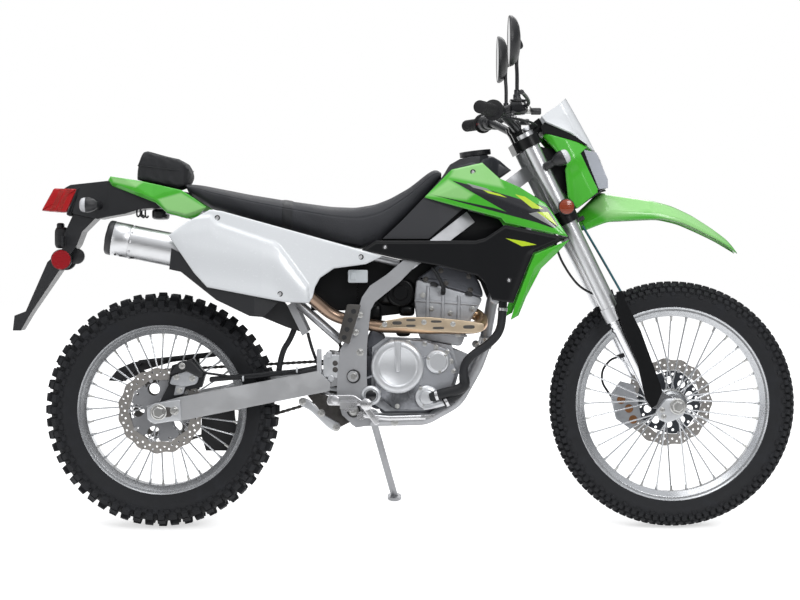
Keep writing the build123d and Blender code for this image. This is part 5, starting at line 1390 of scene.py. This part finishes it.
bolts("head_studs", [(14, 650, -78), (152, 612, -78), (16, 566, -76), (112, 540, -76),
                     (38, 612, -72.5), (90, 600, -72.5)], 5)
casting("spark_plug_cap", HOSE_RUBBER,
        tube([(70, -74, 655), (72, -92, 662), (64, -104, 690), (40, -96, 726)],
             [7] * 10 + [5] * 19, 14, 30), sharp=60)

# %% Frame bolts, engine mounts and the cups by the pivot
bolts("pivot_bolts", [(-178, 426, -108), (-178, 331, -108)], 10, both=True)
bolts("mount_bolts", [(-64, 297, -84), (168, 508, -80), (190, 520, -80), (-160, 492, -108)], 7,
      both=True)
PIVOT_CUP = [(19, 0), (19, 3), (16, 4), (15.5, 1.5), (0, 1.5)]
casting("pivot_cups", BLACK, *[disc(PIVOT_CUP, -178, z, -108, steps=40) for z in (426, 331)],
        both=True)

# %% Heat guard with its slots
GUARD = [(-112, 557), (-91, 580), (-36, 590), (33, 590), (100, 584), (150, 578), (183, 572),
         (180, 551), (150, 545), (61, 549), (-36, 559), (-92, 560)]
GUARD_SLOTS = [(-58, 574, 13, 5), (-20, 582, 13, 3.4), (-20, 566, 13, 3.4), (50, 578, 15, 3.4),
               (56, 560, 16, 3.4), (140, 563, 16, 5)]     # x, z, half length, half height
casting("heat_guard", BRONZE, plate(GUARD, -127, -121.5, 2, 8), replaces="header_guard")
casting("heat_guard_slots", DARK_STEEL, *[lump((long, 0.5, high), (x, -127, z), 3.5)
                                          for x, z, long, high in GUARD_SLOTS], sharp=60)
bolts("heat_guard_screws", [(-92, 570, -127), (16, 576, -127), (96, 571, -127)], 5)

# %% Intake, pedal and master cylinder
THROTTLE = [(40, -10), (40, 2), (36, 6), (34, 6), (33, 3), (22, 3), (20, 7), (0, 7)]
casting("throttle_body", DEEP_BLACK, disc(THROTTLE, -48, 656, -50),
        lump((58, 44, 40), (-60, 0, 656)), lump((20, 36, 30), (-118, 0, 600)),
        lump((22, 30, 16), (-30, -20, 606)), sharp=50)
BEHIND_HEAD = [(-190, 753), (64, 745), (2, 686), (-9, 601), (-105, 590), (-190, 601)]
# The flat black sheet under the tank is painted shade: it fills the gap between the tank's side
# panel and the spar, which lies in shadow.
UNDER_TANK_SHADE_SHEET = [(-98, 770), (-98, 812), (30, 812), (128, 898), (150, 880), (60, 780)]
casting("intake_duct_and_tank_shade", DEEP_BLACK, slab(BEHIND_HEAD, -30, 30), slab(UNDER_TANK_SHADE_SHEET, -60, 60), sharp=40)
PEDAL_ARM = [(-253, 361), (-245, 376), (-176, 376), (-152, 360), (-156, 346), (-249, 347)]
PEDAL_LINK = [(-156, 362), (-140, 352), (-104, 298), (-118, 291), (-152, 336)]
casting("brake_pedal_arm", STEEL, plate(PEDAL_ARM, -133, -125, 3, 6),
        plate(PEDAL_LINK, -133, -126, 3, 6),
        disc([(16, -20), (16, 2), (13, 4), (0, 4)], -143, 350, -132, steps=32),
        disc([(11, -20), (11, 2), (9, 3), (0, 3)], -228, 362, -132, steps=32))
CYLINDER_END = [(9, -20), (9, 6), (7, 8), (0, 8)]
casting("master_cylinder", COVER,
        plate([(-262, 486), (-214, 486), (-214, 420), (-262, 424)], -106, -92, 3, 6),
        plate([(-281, 500), (-267, 503), (-266, 410), (-279, 412)], -100, -86, 3, 5),
        *[disc(CYLINDER_END, x, z, -104, steps=28) for x, z in ((-246, 486), (-240, 420))])
bolts("master_cylinder_bolts", [(-229, 462, -106), (-229, 444, -106)], 5, DARK_STEEL)

# %% What fills the gaps round the engine
GEARCASE = [(-152, 350), (-112, 330), (-96, 338), (-90, 540), (-128, 556), (-146, 520)]
casting("gearcase_rear", DARK_CAST, plate(GEARCASE, -74, 50, 6, 12))
# The dark sump block fills the gap above the frame rail: partly the sump itself, partly painted
# shade for the shadow under the engine.
casting("sump_and_shade_fill", DARK_CAST, plate([(-118, 384), (-104, 320), (36, 320), (104, 376)], -62, 44, 6, 12))
casting("starter_motor", DARK_STEEL, lump((30, 40, 24), (40, -20, 538), 3),
        lump((20, 30, 12), (-40, -30, 545), 3), sharp=50)
casting("relay_box", RELAY_CASE,
        plate([(-194, 684), (-139, 684), (-139, 720), (-194, 720)], -78, -71, 2, 5),
        plate([(-186, 692), (-172, 692), (-172, 712), (-186, 712)], -79.5, -77, 0.8, 3))
casting("reed_bracket", DARK_STEEL,
        plate([(-196, 626), (-157, 624), (-190, 514), (-222, 528)], -126, -121, 2, 6))
casting("bracket_holes", BLACK, *[disc([(7, -0.2), (7, 0.5), (0, 0.5)], x, z, -126, steps=24)
                                  for x, z in ((-178, 606), (-187, 582), (-196, 556), (-204, 534))],
        sharp=40)
bolts("bracket_bolts", [(-160, 596, -121), (-172, 548, -121)], 6)
ROCKER = [(-333, 354), (-322, 366), (-300, 358), (-262, 318), (-216, 292), (-214, 276),
          (-232, 270), (-250, 282), (-300, 330), (-326, 342)]
casting("rocker_link", COVER, plate(ROCKER, -78, -64, 3, 8))
bolts("rocker_bolts", [(-321, 354, -78), (-226, 282, -78), (-268, 322, -78)], 7)

# %% Spring and damper
SHOCK_LOW, SHOCK_HIGH = np.array([-240.0, 0, 338]), np.array([-206.0, 0, 512])
COIL_FROM, COIL_TO, COIL_TURNS, COIL_RADIUS, WIRE_RADIUS = 0.2, 0.82, 6.5, 31, 5.5
lift = SHOCK_HIGH - SHOCK_LOW
t = np.linspace(COIL_FROM, COIL_TO, 400)[:, None]
across = np.array([lift[2], 0, -lift[0]]) / np.linalg.norm(lift)
angle = 2 * math.pi * COIL_TURNS * (t - COIL_FROM) / (COIL_TO - COIL_FROM)
coil = SHOCK_LOW + lift * t + COIL_RADIUS * (np.cos(angle) * across
                                             + np.sin(angle) * np.array([0, 1.0, 0]))
show("shock_spring", pipe(coil, WIRE_RADIUS, 12), WHITE, sharp=80)
COLLAR = [(18, -4), (37, -4), (38, 0), (37, 4), (18, 4)]
casting("spring_collars", STEEL, *[turned(COLLAR, SHOCK_LOW + lift * k, 40, lift)
                                   for k in (0.18, 0.84)])


# %% Radiator fins, coolant hoses and clamps
def cooling_fins(name):
    """Louvred fins: rows of fine dark gaps in black metal."""
    f = Finish(name)
    x, y, z = f.upright()
    gap = (z * 2.1).wave().rises(-0.2, 0.6)
    columns = (y * 0.63).wave().rises(0.6, 0.9)
    tint = f.mix(gap.most(columns), colour(14, 14, 16), colour(70, 72, 76))
    return f.done(Base_Color=tint, Metallic=0.6, Roughness=0.5,
                  Normal=f.bumps(gap.most(columns), 0.0015))


core = slab([(224, 682), (247, 682), (290, 828), (267, 828)], 58, 122)
show("radiator_cores", moved(core, (5.5, 0, -1)), cooling_fins("radiator_fins"), sharp=30,
     both=True)
HOSE = [(237, -100, 668), (234, -106, 600), (227, -110, 548), (192, -115, 512), (152, -119, 488),
        (128, -121, 462), (125, -122, 430), (131, -122, 402), (108, -122, 388), (76, -120, 381),
        (50, -117, 373), (34, -113, 369)]
hose = smooth_line(HOSE, 110)
girth = np.interp(np.arange(len(hose)), [0, 48, 62, 88, len(hose)], [12, 11.5, 15, 15, 13])
show("radiator_hose", pipe(hose, girth, 20), HOSE_RUBBER, sharp=70, replaces="coolant_hose")
back = smooth_line([(134, -104, 404), (112, -112, 378), (88, -116, 362), (70, -116, 353)], 30)
show("pump_return_hose", pipe(back, 13, 20), HOSE_RUBBER, sharp=70)
show("pump_return_pipe", tube([(72, -116, 354), (44, -113, 345), (16, -107, 341)], 9, 16, 20),
     COVER, sharp=70)
casting("hose_clamps", STEEL, *[
    turned([(inner, -4), (inner + 1.6, -4), (inner + 1.6, 4), (inner, 4)], place, 32, run)
    for place, run, inner in ((hose[5], hose[7] - hose[5], 12),
                              (hose[-7], hose[-5] - hose[-9], 13.6),
                              (back[-4], back[-2] - back[-6], 13))])
casting("thermostat_fitting", COVER,
        disc([(15, -4), (15, 10), (12, 14), (9, 14), (9, 22), (0, 22)], 214, 640, -96, steps=32),
        tube([(214, -104, 640), (226, -108, 660), (237, -104, 676)], 11, 16, 12))
# A thin black sheet on each side, under the tank shroud, is painted shade: it fills a gap there
# that lies in shadow.
TANK_GAP_SHADE_SHEET = [(40, 812), (66, 812), (128, 888), (226, 862), (244, 836), (186, 800), (120, 796)]
casting("tank_gap_shade_sheets", DEEP_BLACK, plate(TANK_GAP_SHADE_SHEET, -66, -60, 2, 6), both=True)
print("engine dressed")

# %% [markdown]
# ## Lamps, mirrors, controls and exhaust end
# Small fittings give the bike its scale. Each is a turned profile or a rounded block placed in the
# frame of what carries it: the bars and mirrors along the bar's own axis, lamps along the bike's.

# %% Bar grips and switch gear
BAR_END, BAR_BEND = np.array([-86.0, 400.0, 969.0]), np.array([-30.0, 225.0, 941.0])
bar_run = (BAR_BEND - BAR_END) / np.linalg.norm(BAR_BEND - BAR_END)
reach = np.linspace(0, 112, 180)
ribs = 16.6 + 0.9 * (np.clip(np.sin(reach * 2 * math.pi / 6.0) * 3, -1, 1)
                     * (reach > 8) * (reach < 104))
grip = [(15, -3.8), (17.5, -1.5), (17.5, 5), *zip(ribs, reach + 3), (17, 117), (24, 119),
        (28.5, 121), (28.5, 124), (24, 125), (0, 125)]
steer("ribbed_grips", knob(grip, BAR_END, 48, bar_run), GRIP_RUBBER, sharp=50, replaces="grips",
      both=True)
SLEEVE = [(12, 126), (20.5, 127), (22, 130), (22, 150), (20, 154), (22, 156), (22, 160), (18, 163),
          (18, 180), (12, 182)]
steer("switch_sleeves", turned(SLEEVE, BAR_END, 40, bar_run), BLACK, both=True)
buttons = [lump((4, 5, 4), BAR_END + bar_run * along + (-19, 0, 6), 3) for along in (136, 148)]
steer("switch_buttons", stack(*buttons), RED_LENS, sharp=60, both=True)

# %% Reservoir, levers and clamps
FORWARD, UP = (math.cos(RAKE), 0, -math.sin(RAKE)), (math.sin(RAKE), 0, math.cos(RAKE))


def level(shape, place):
    """A shape that stays level, at a place in the fork's frame."""
    return moved(shape, place, (FORWARD, (0, 1, 0), UP))


RESERVOIR = (((22, 27, 18), (17, -232, 928)), ((23, 28, 3.5), (26, -232, 946)))
steer("brake_reservoir", stack(*[level(block(half, 7, 15, 32), place)
                                 for half, place in RESERVOIR]), GLOSS_BLACK)
HOUSING = [(11.3, 128), (21, 129), (23, 132), (23, 158), (21, 161), (19, 162), (19, 184),
           (17, 187), (11.3, 188)]
LEVER = [(32, 236, 922), (46, 262, 922), (44, 320, 936), (34, 380, 950), (30, 402, 956)]
perch = stack(lump((32, 11, 11), (0, 240, 936)), lump((12, 11, 14), (24, 244, 944)))
housing = turned(HOUSING, BAR_END, 40, bar_run)
lever = stack(tube(LEVER, 5.0, 12), lump((7, 7, 7), (29, 403, 956), 2, 9, 16))
cable = tube([(40, 222, 918), (56, 180, 905), (58, 120, 888), (58, 60, 868)], 4, 10)
steer("bar_levers_and_housings", stack(perch, mirror(perch), housing, mirror(housing), lever,
                                       mirror(lever), cable), BLACK, sharp=45,
      replaces="bar_controls")
PIVOT = [(8, -9), (9, -7), (9, 7), (8, 9), (0, 9)]
pivot = stack(level(knob(PIVOT, (0, 0, 0), 28, (0, 0, 1)), (40, -228, 912)),
              level(block((26, 8, 5)), (28, -226, 912)))
steer("lever_pivot", pivot, ZINC, sharp=45, both=True)
BARREL = [(8.5, 0), (9.5, 2), (9.5, 24), (8, 27), (0, 27)]
steer("lever_barrel", stack(*[knob(BARREL, (46, side * 226, 905), 28, FORWARD)
                              for side in (1, -1)]), BLACK, sharp=45)
CLAMP = [(11.2, -12), (17, -12), (18, -10), (18, 10), (17, 12), (11.2, 12)]
steer("bar_clamp_pieces", stack(*[turned(CLAMP, (0, side * 46, 884), 36) for side in (1, -1)],
                                *[lump((7, 9, 12), (14, side * 46, 894)) for side in (1, -1)]),
      BLACK_METAL)
steer("ignition_lock", knob([(13, 0), (14, 2), (14, 22), (10, 26), (0, 26)], (30, -30, 852), 36,
                            (0.2, -0.4, 1)), COVER)

# %% Mirrors
MIRROR_PLACE = (84.0, 270.0, 1094.0)
MIRROR_BACK = [(TIP, 17), (22, 16.4), (42, 13), (57, 6.5), (66, -2), (69, -9), (69, -13),
               (66.5, -14.8), (64, -13.5), (TIP, -13.5)]
steer("mirror_shells", turned(MIRROR_BACK, MIRROR_PLACE, 64, FORWARD, close=False), BLACK,
      sharp=50, replaces="mirrors", both=True)
steer("mirror_glass", knob([(63.5, -12.8), (63.8, -13.9), (0, -14.1)], MIRROR_PLACE, 64, FORWARD),
      MIRROR_GLASS, both=True)
STEM = [(24, 244, 949), (36, 244, 974), (54, 245, 1010), (66, 250, 1040), (80, 262, 1064),
        (92, 268, 1082)]
STEM_FOOT = [(10, 0), (10, 12), (7.5, 15), (7.5, 26), (0, 28)]
steer("mirror_stems", stack(tube(STEM, 5.2, 14, 60),
                            level(knob(STEM_FOOT, (0, 0, 0), 24, (0, 0, 1)), (24, 244, 950)),
                            lump((10, 9, 16), (92, 268, 1082), 2.6)), BLACK_METAL, sharp=60,
      both=True)


# %% Indicators front and rear, and the fork's reflectors
def indicator(place, axis, boot_from):
    """A lamp on a rubber boot: the boot tapers to the housing, and the lens closes its open end."""
    place, axis, boot_from = (np.asarray(a, float) for a in (place, axis, boot_from))
    body = knob([(9, -23), (16, -14), (20.5, -2), (21.5, 6), (21, 9), (0, 9)], place, 40, axis)
    glass = knob([(20, 8), (20.3, 14), (18, 21), (12, 25), (0, 26.5)], place, 40, axis)
    boot_line = smooth_line([boot_from, (boot_from + place) / 2, place - axis * 12], 24)
    ring = np.arange(len(boot_line))
    return stack(body, pipe(boot_line, 10.5 - 0.06 * ring + 0.9 * (ring % 3 == 0), 20)), glass


FORK_REFLECTOR = (27, 135, 629)
front_body, front_lens = indicator((70, 147, 755), (1, 0, 0), (26, 126, 753))
rear_body, rear_lens = indicator((-905, 143, 899), (-1, 0, 0), (-888, 68, 898))
holder = knob([(19, 0), (22.5, 1), (22.5, 6), (21, 7.5), (0, 7.5)], FORK_REFLECTOR, 48)
steer("front_indicator_bodies", stack(front_body, mirror(front_body), holder, mirror(holder)),
      BLACK, sharp=45, replaces="front_indicators")
steer("front_indicator_lenses", front_lens, SMOKE_LENS, sharp=50, both=True)
steer("front_reflectors", knob([(20.3, 6), (20.3, 8.2), (19.5, 8.8), (0, 9.4)], FORK_REFLECTOR, 48),
      REFLECTOR, sharp=45, both=True)
show("rear_indicator_bodies", rear_body, BLACK, sharp=45, replaces="rear_indicators", both=True)
show("rear_indicator_lenses", rear_lens, SMOKE_LENS, sharp=50, both=True)

# %% Tail lamp, rear reflectors, plate lamp and luggage hooks
LAMP_LINE = [(-1016, 948), (-986, 947), (-976, 879), (-1051, 884)]
LAMP_SIDE = [(-1014, 947.5), (-949, 945.5), (-980, 880), (-1049, 884.5)]
LAMP_FRAME = [(-950, 949), (-940, 951), (-968, 868), (-980, 874)]
show("tail_lamp_lens", plate(LAMP_LINE, -50, 50, 9, 10), RED_LENS, replaces="tail_lamp")
show("tail_lamp_flanks", plate(LAMP_SIDE, 48, 62.5, 4, 5), RED_LENS, both=True)
# Two pale strips on each flank of the tail lamp are painted glints: the pale lines a glossy red
# lens reflects.
glint_bars = [plate([(x, 946), (x + 13, 946), (x - 17, 882), (x - 30, 882)], 62, 63.3, 0.6, 1)
        for x in (-996, -978)]
show("tail_lamp_painted_glints", stack(*glint_bars), TAIL_PAINTED_GLINT_LENS, both=True)
show("tail_lamp_frame", plate(LAMP_FRAME, -62.5, 62.5, 3, 4), GLOSS_BLACK)
for side in (1, -1):
    for name, profile, y, material in (
            ("rear_reflector", [(27, 0), (27.5, 4), (26, 6), (0, 7)], 52, RED_REFLECTOR),
            ("reflector_holder", [(29, -8), (29.5, 1), (28, 2.4), (0, 2.4)], 50, BLACK)):
        show(f"{name}_{side + 2}", disc(profile, -995, 748, side * y, side), material)
casting("plate_lamp", BLACK, lump((19, 26, 30), (-1000, 0, 810), 5),
        lump((10, 18, 10), (-1004, 0, 842)),
        disc([(22, -14), (22, 0), (19, 2), (0, 2)], -956, 758, -26, steps=36), sharp=45)
hooks = [tube([(x, -62, 892), (x - 2, -64, 872), (x + 6, -64, 866), (x + 8, -64, 874)], 2.4, 10, 16)
         for x in (-782, -772, -660)]
casting("luggage_hooks", BLACK, *hooks, *map(mirror, hooks),
        lump((22, 52, 15), (-722, 0, 876), 5), sharp=50)

# %% Silencer's end cap, bands and rivets
EXHAUST_RUN = np.array([-352.0, -2, 69]) / np.linalg.norm([-352.0, -2, 69])
EXHAUST_END, EXHAUST_RADIUS = np.array([-832.0, -120, 806]), 46.2
CAP = [(TIP, 25), (13, 25), (14.5, 29.5), (17.5, 30.5), (20, 28), (30, 28), (40, 27), (45.4, 24),
       (47.6, 20), (48, 10), (46.4, 8)]


def exhaust_band(radius, low, high):
    """A band round the silencer whose edges are bevelled by one millimetre."""
    return turned([(EXHAUST_RADIUS, low - 1), (radius, low), (radius, high),
                   (EXHAUST_RADIUS, high + 1)], EXHAUST_END, 64, EXHAUST_RUN)


show("silencer_cap", turned(CAP, EXHAUST_END, 64, EXHAUST_RUN, close=False), BLACK)
show("silencer_sleeve", exhaust_band(46.9, -38, 8), BRUSHED)
casting("silencer_drains", BLACK, *[lump((long, 8, 2.2), EXHAUST_END + EXHAUST_RUN * along
                                         + (4, -14, -45), 2.4)
                                    for along, long in ((6, 4), (-12, 7), (-42, 7))], sharp=50)
casting("silencer_bands", STEEL, exhaust_band(48, -317, -304), exhaust_band(46.7, -35, -33),
        sharp=40)
rivets = [EXHAUST_END - EXHAUST_RUN * 44
          + EXHAUST_RADIUS * np.array([0.19 * math.sin(a), -math.cos(a), 0.98 * math.sin(a)])
          for a in np.radians([-70, -35, 0, 35, 70, 110, 150, 190, 230, 260])]
casting("silencer_rivets", STEEL, *[lump((3.4, 3.4, 3.4), place, 2, 7, 12) for place in rivets],
        sharp=60)

# %% The tank's crown
CROWN_TOP = [(50, 952), (72, 985), (89, 1012), (117, 1030), (150, 1037.5), (186, 1041),
             (212, 1038), (230, 1028), (248, 1012), (262, 1000)]
CROWN_FOOT = [(50, 940), (128, 930), (200, 955), (244, 985), (262, 998)]
CROWN_PLAN = [(50, 97.5), (150, 95), (180, 88), (200, 72), (212, 50), (225, 38), (262, 30)]
show("tank_crown", shell(CROWN_TOP, CROWN_FOOT, CROWN_PLAN, 4.0, 70, 72), TANK_PAINT, sharp=60)

# %% Screws in the panels
SCREWS = [(cover_outer, -551.7, 863.5), (cover_outer, -378.7, 654.6), (cover_outer, -157.6, 756),
          (shroud_outer, 152, 991), (lower_outer, 249, 692), (lower_outer, -91, 783)]
SCREW_CUP = [(7.5, -1.5), (7.5, 0.6), (6.3, 1.2), (4.9, 0.2), (0, 0.2)]
SCREW_HEAD = [(4.1, 0), (4.1, 1.0), (3.1, 1.8), (2.0, 1.8), (1.6, 0.4), (0, 0.4)]
for name, profile, steps, material in (("panel_cups", SCREW_CUP, 32, BLACK),
                                       ("panel_screws", SCREW_HEAD, 24, STEEL)):
    shapes = [disc(profile, x, z, -float(outer(np.array(x), np.array(z))), steps=steps)
              for outer, x, z in SCREWS]
    casting(name, material, *shapes, both=True)

# %% Small cables and ties
steer("speedometer_cable", tube([(51, -60, 560), (56, -61, 500), (61, -63, 430), (66, -66, 346)],
                                3.4, 12), TEAL, sharp=80)
FOOT_RING = [(20.4, -4), (22.5, -4), (22.5, 4), (20.4, 4)]
steer("fork_foot_rings", stack(*[turned(FOOT_RING, (15, side * 100, w), 40, (0, 0, 1))
                                 for side in (1, -1) for w in (276, 262)]), CHROME)
TIE = [(6.4, -2.4), (8, -2.4), (8, 2.4), (6.4, 2.4)]
casting("cable_ties", WHITE, *[turned(TIE, place, 24, (1, 0, 0))
                               for place in ((-484, -100, 419), (-335, -100, 443))], sharp=40)

# %% Rear axle, caliper, chain guard and flap
ADJUSTER = [(-748, 337), (-728, 352), (-656, 363), (-653, 307), (-728, 295), (-746, 307)]
casting("axle_adjuster_plate", COVER, plate(ADJUSTER, -126, -116, 2, 5))
show("axle_slot", lump((30, 1.2, 14), (-708, -126, 328), 5), DARK_STEEL)
casting("axle_nut", ZINC, bolt(-715, 328, -127, 15),
        disc([(8, 4), (8, 12), (6, 13), (0, 13)], -715, 328, -126, steps=28),
        bolt(-672, 332, -126, 8), sharp=30)
CALIPER = [(-688, 404), (-676, 438), (-634, 446), (-604, 428), (-612, 404), (-646, 396)]
CALIPER_TOP = [(-690, 424), (-662, 466), (-626, 472), (-592, 434), (-600, 420), (-640, 440)]
casting("rear_caliper_body", CAST, plate(CALIPER, -108, -92, 4, 8),
        plate([(-670, 402), (-640, 408), (-650, 376), (-676, 372)], -104, -94, 3, 5))
casting("rear_caliper_black", BLACK, plate(CALIPER_TOP, -112, -96, 4, 6))
bolts("rear_caliper_bolts", [(-668, 424, -108), (-624, 420, -108), (-652, 455, -112),
                             (-660, 386, -104)], 6)
GUARD_REAR = [(-881, 403), (-853, 437), (-810, 456), (-773, 428), (-841, 400)]
GUARD_FRONT = [(-812, 456), (-699, 468), (-562, 485), (-575, 471), (-699, 456), (-780, 432)]
casting("chain_guard_side", BLACK, slab(GUARD_REAR, 86, 90), slab(GUARD_FRONT, 86, 90), sharp=40)
show("swingarm_strip", plate([(-578, 409), (-578, 423), (-278, 450), (-278, 436)], -98, -74, 3, 4),
     BLACK)
FLAP = [(-440, 592), (-404, 642), (-380, 640), (-328, 578), (-322, 547), (-365, 561)]
show("rear_flap", slab(FLAP, -80, -30), BLACK)

# %% Drain hoses and the rear brake hose
casting("drain_hoses", HOSE_RUBBER,
        tube([(-342, -70, 560), (-352, -72, 530), (-380, -74, 490), (-387, -76, 432)], 8, 14),
        tube([(-306, -70, 545), (-296, -72, 500), (-276, -76, 454)], 4.5, 12, 30), sharp=80)
BRAKE_LINE = [(-640, -92, 440), (-560, -104, 432), (-484, -101, 419), (-400, -101, 430),
              (-335, -101, 443), (-280, -84, 452), (-232, -80, 470)]
show("rear_brake_hose", tube(BRAKE_LINE, 3.4, 10, 80), HOSE_RUBBER, sharp=80)

# %% Front caliper and axle
PISTON = [(12, -1), (12, 0.6), (10.6, 1.4), (4, 1.4), (3.4, 0.6), (TIP, 0.6)]
pistons = [turned(PISTON, (u, 44, w), 32, (0, -1, 0), close=False)
           for u, w in ((-48, 34), (-51, 1), (-57, 66))]
steer("front_caliper_pistons", stack(*pistons), PAD_BRONZE)
AXLE_CLAMP = [(654, 331), (683, 364), (725, 367), (737, 345), (730, 317), (688, 298), (664, 307)]
casting("front_axle_clamp", COVER, plate(AXLE_CLAMP, -133, -121, 3, 7), body="fork")
casting("front_axle_nut", ZINC, bolt(FRONT_AXLE[0], FRONT_AXLE[2], -133, 15),
        bolt(676, 316, -133, 5), bolt(672, 334, -133, 5),
        disc([(7, 5), (7, 11), (5, 11.6), (0, 9)], FRONT_AXLE[0], FRONT_AXLE[2], -133, steps=24),
        sharp=30, body="fork")
print("fittings made")

# %% [markdown]
# ## Floor and light
# A studio cut-out: the floor and backdrop look white to the camera and in reflections, and keep
# only the soft shadow under the tyres. Large lamps from above and from both sides light it evenly.

# %% Floor, sky and lamps
def studio_floor():
    """Pale and matt by the bike; for the camera it turns to glow from 1.6 to 3.5 metres out."""
    f = Finish("floor")
    matt, dull = (f.add("BsdfDiffuse", {}, {"Color": (grey, grey, grey, 1)})
                  for grey in (0.82, 0.5))
    lit = f.add("AddShader", {}, {0: matt, 1: f.glow(0.62)})
    x, y, z = f.apart(f.place)
    far = (x * x + y * y).rises(2.5, 12.0)
    seen = f.add("MixShader", {}, {0: far, 1: lit, 2: f.glow(1.0)})
    path = f.seen_by("Camera", "Transmission", "Glossy")
    return f.close(f.add("MixShader", {}, {0: path, 1: dull, 2: seen}))


FLOOR_HALF = 40.0
floor_mesh = bpy.data.meshes.new("floor")
floor_mesh.from_pydata([(x * FLOOR_HALF, y * FLOOR_HALF, 0) for x, y in
                        ((-1, -1), (1, -1), (1, 1), (-1, 1))], [], [(0, 1, 2, 3)])
floor_mesh.materials.append(studio_floor())
floor = bpy.data.objects.new("floor", floor_mesh)
bpy.context.scene.collection.objects.link(floor)

# The sky gives soft light from above and little from the side, so rounded pieces turn from light to
# dark. What looks through or past the bike sees plain white.
world = bpy.data.worlds.new("studio")
bpy.context.scene.world = world
world.use_nodes = True
sky = Finish.__new__(Finish)
sky.tree = world.node_tree
sky.tree.nodes.clear()
height = sky.apart(sky.add("TexCoord", output="Generated"))[2]
overhead = height.rises(0.0, 0.85) * 0.8 + 0.1
soft = sky.add("Background", {}, {"Color": (0.97, 0.98, 1.0, 1), "Strength": overhead})
seen = sky.add("Background", {}, {"Color": (1, 1, 1, 1), "Strength": 1.0})
mixed = sky.add("MixShader", {}, {0: sky.seen_by("Camera", "Transmission"), 1: soft, 2: seen})
sky.tree.links.new(mixed.socket, sky.tree.nodes.new("ShaderNodeOutputWorld").inputs[0])

LAMPS = (("key", (1.6, -3.0, 3.0), 1.3, 50), ("fill", (-3.2, -2.0, 1.4), 1.2, 10),
         ("top", (-0.3, -0.2, 3.6), 2.2, 36), ("back", (0.5, 3.2, 2.4), 2.0, 34))
LAMP_AIM = np.array([0.0, 0.0, 0.6])
for name, place, size, watts in LAMPS:
    lamp_data = bpy.data.lights.new(name, "AREA")
    lamp_data.size, lamp_data.energy = size, watts
    lamp = bpy.data.objects.new(name, lamp_data)
    lamp.location = place
    x, y, z = LAMP_AIM - np.array(place)
    lamp.rotation_euler = (math.atan2(math.hypot(x, y), -z), 0, math.atan2(y, x) - math.pi / 2)
    bpy.context.scene.collection.objects.link(lamp)
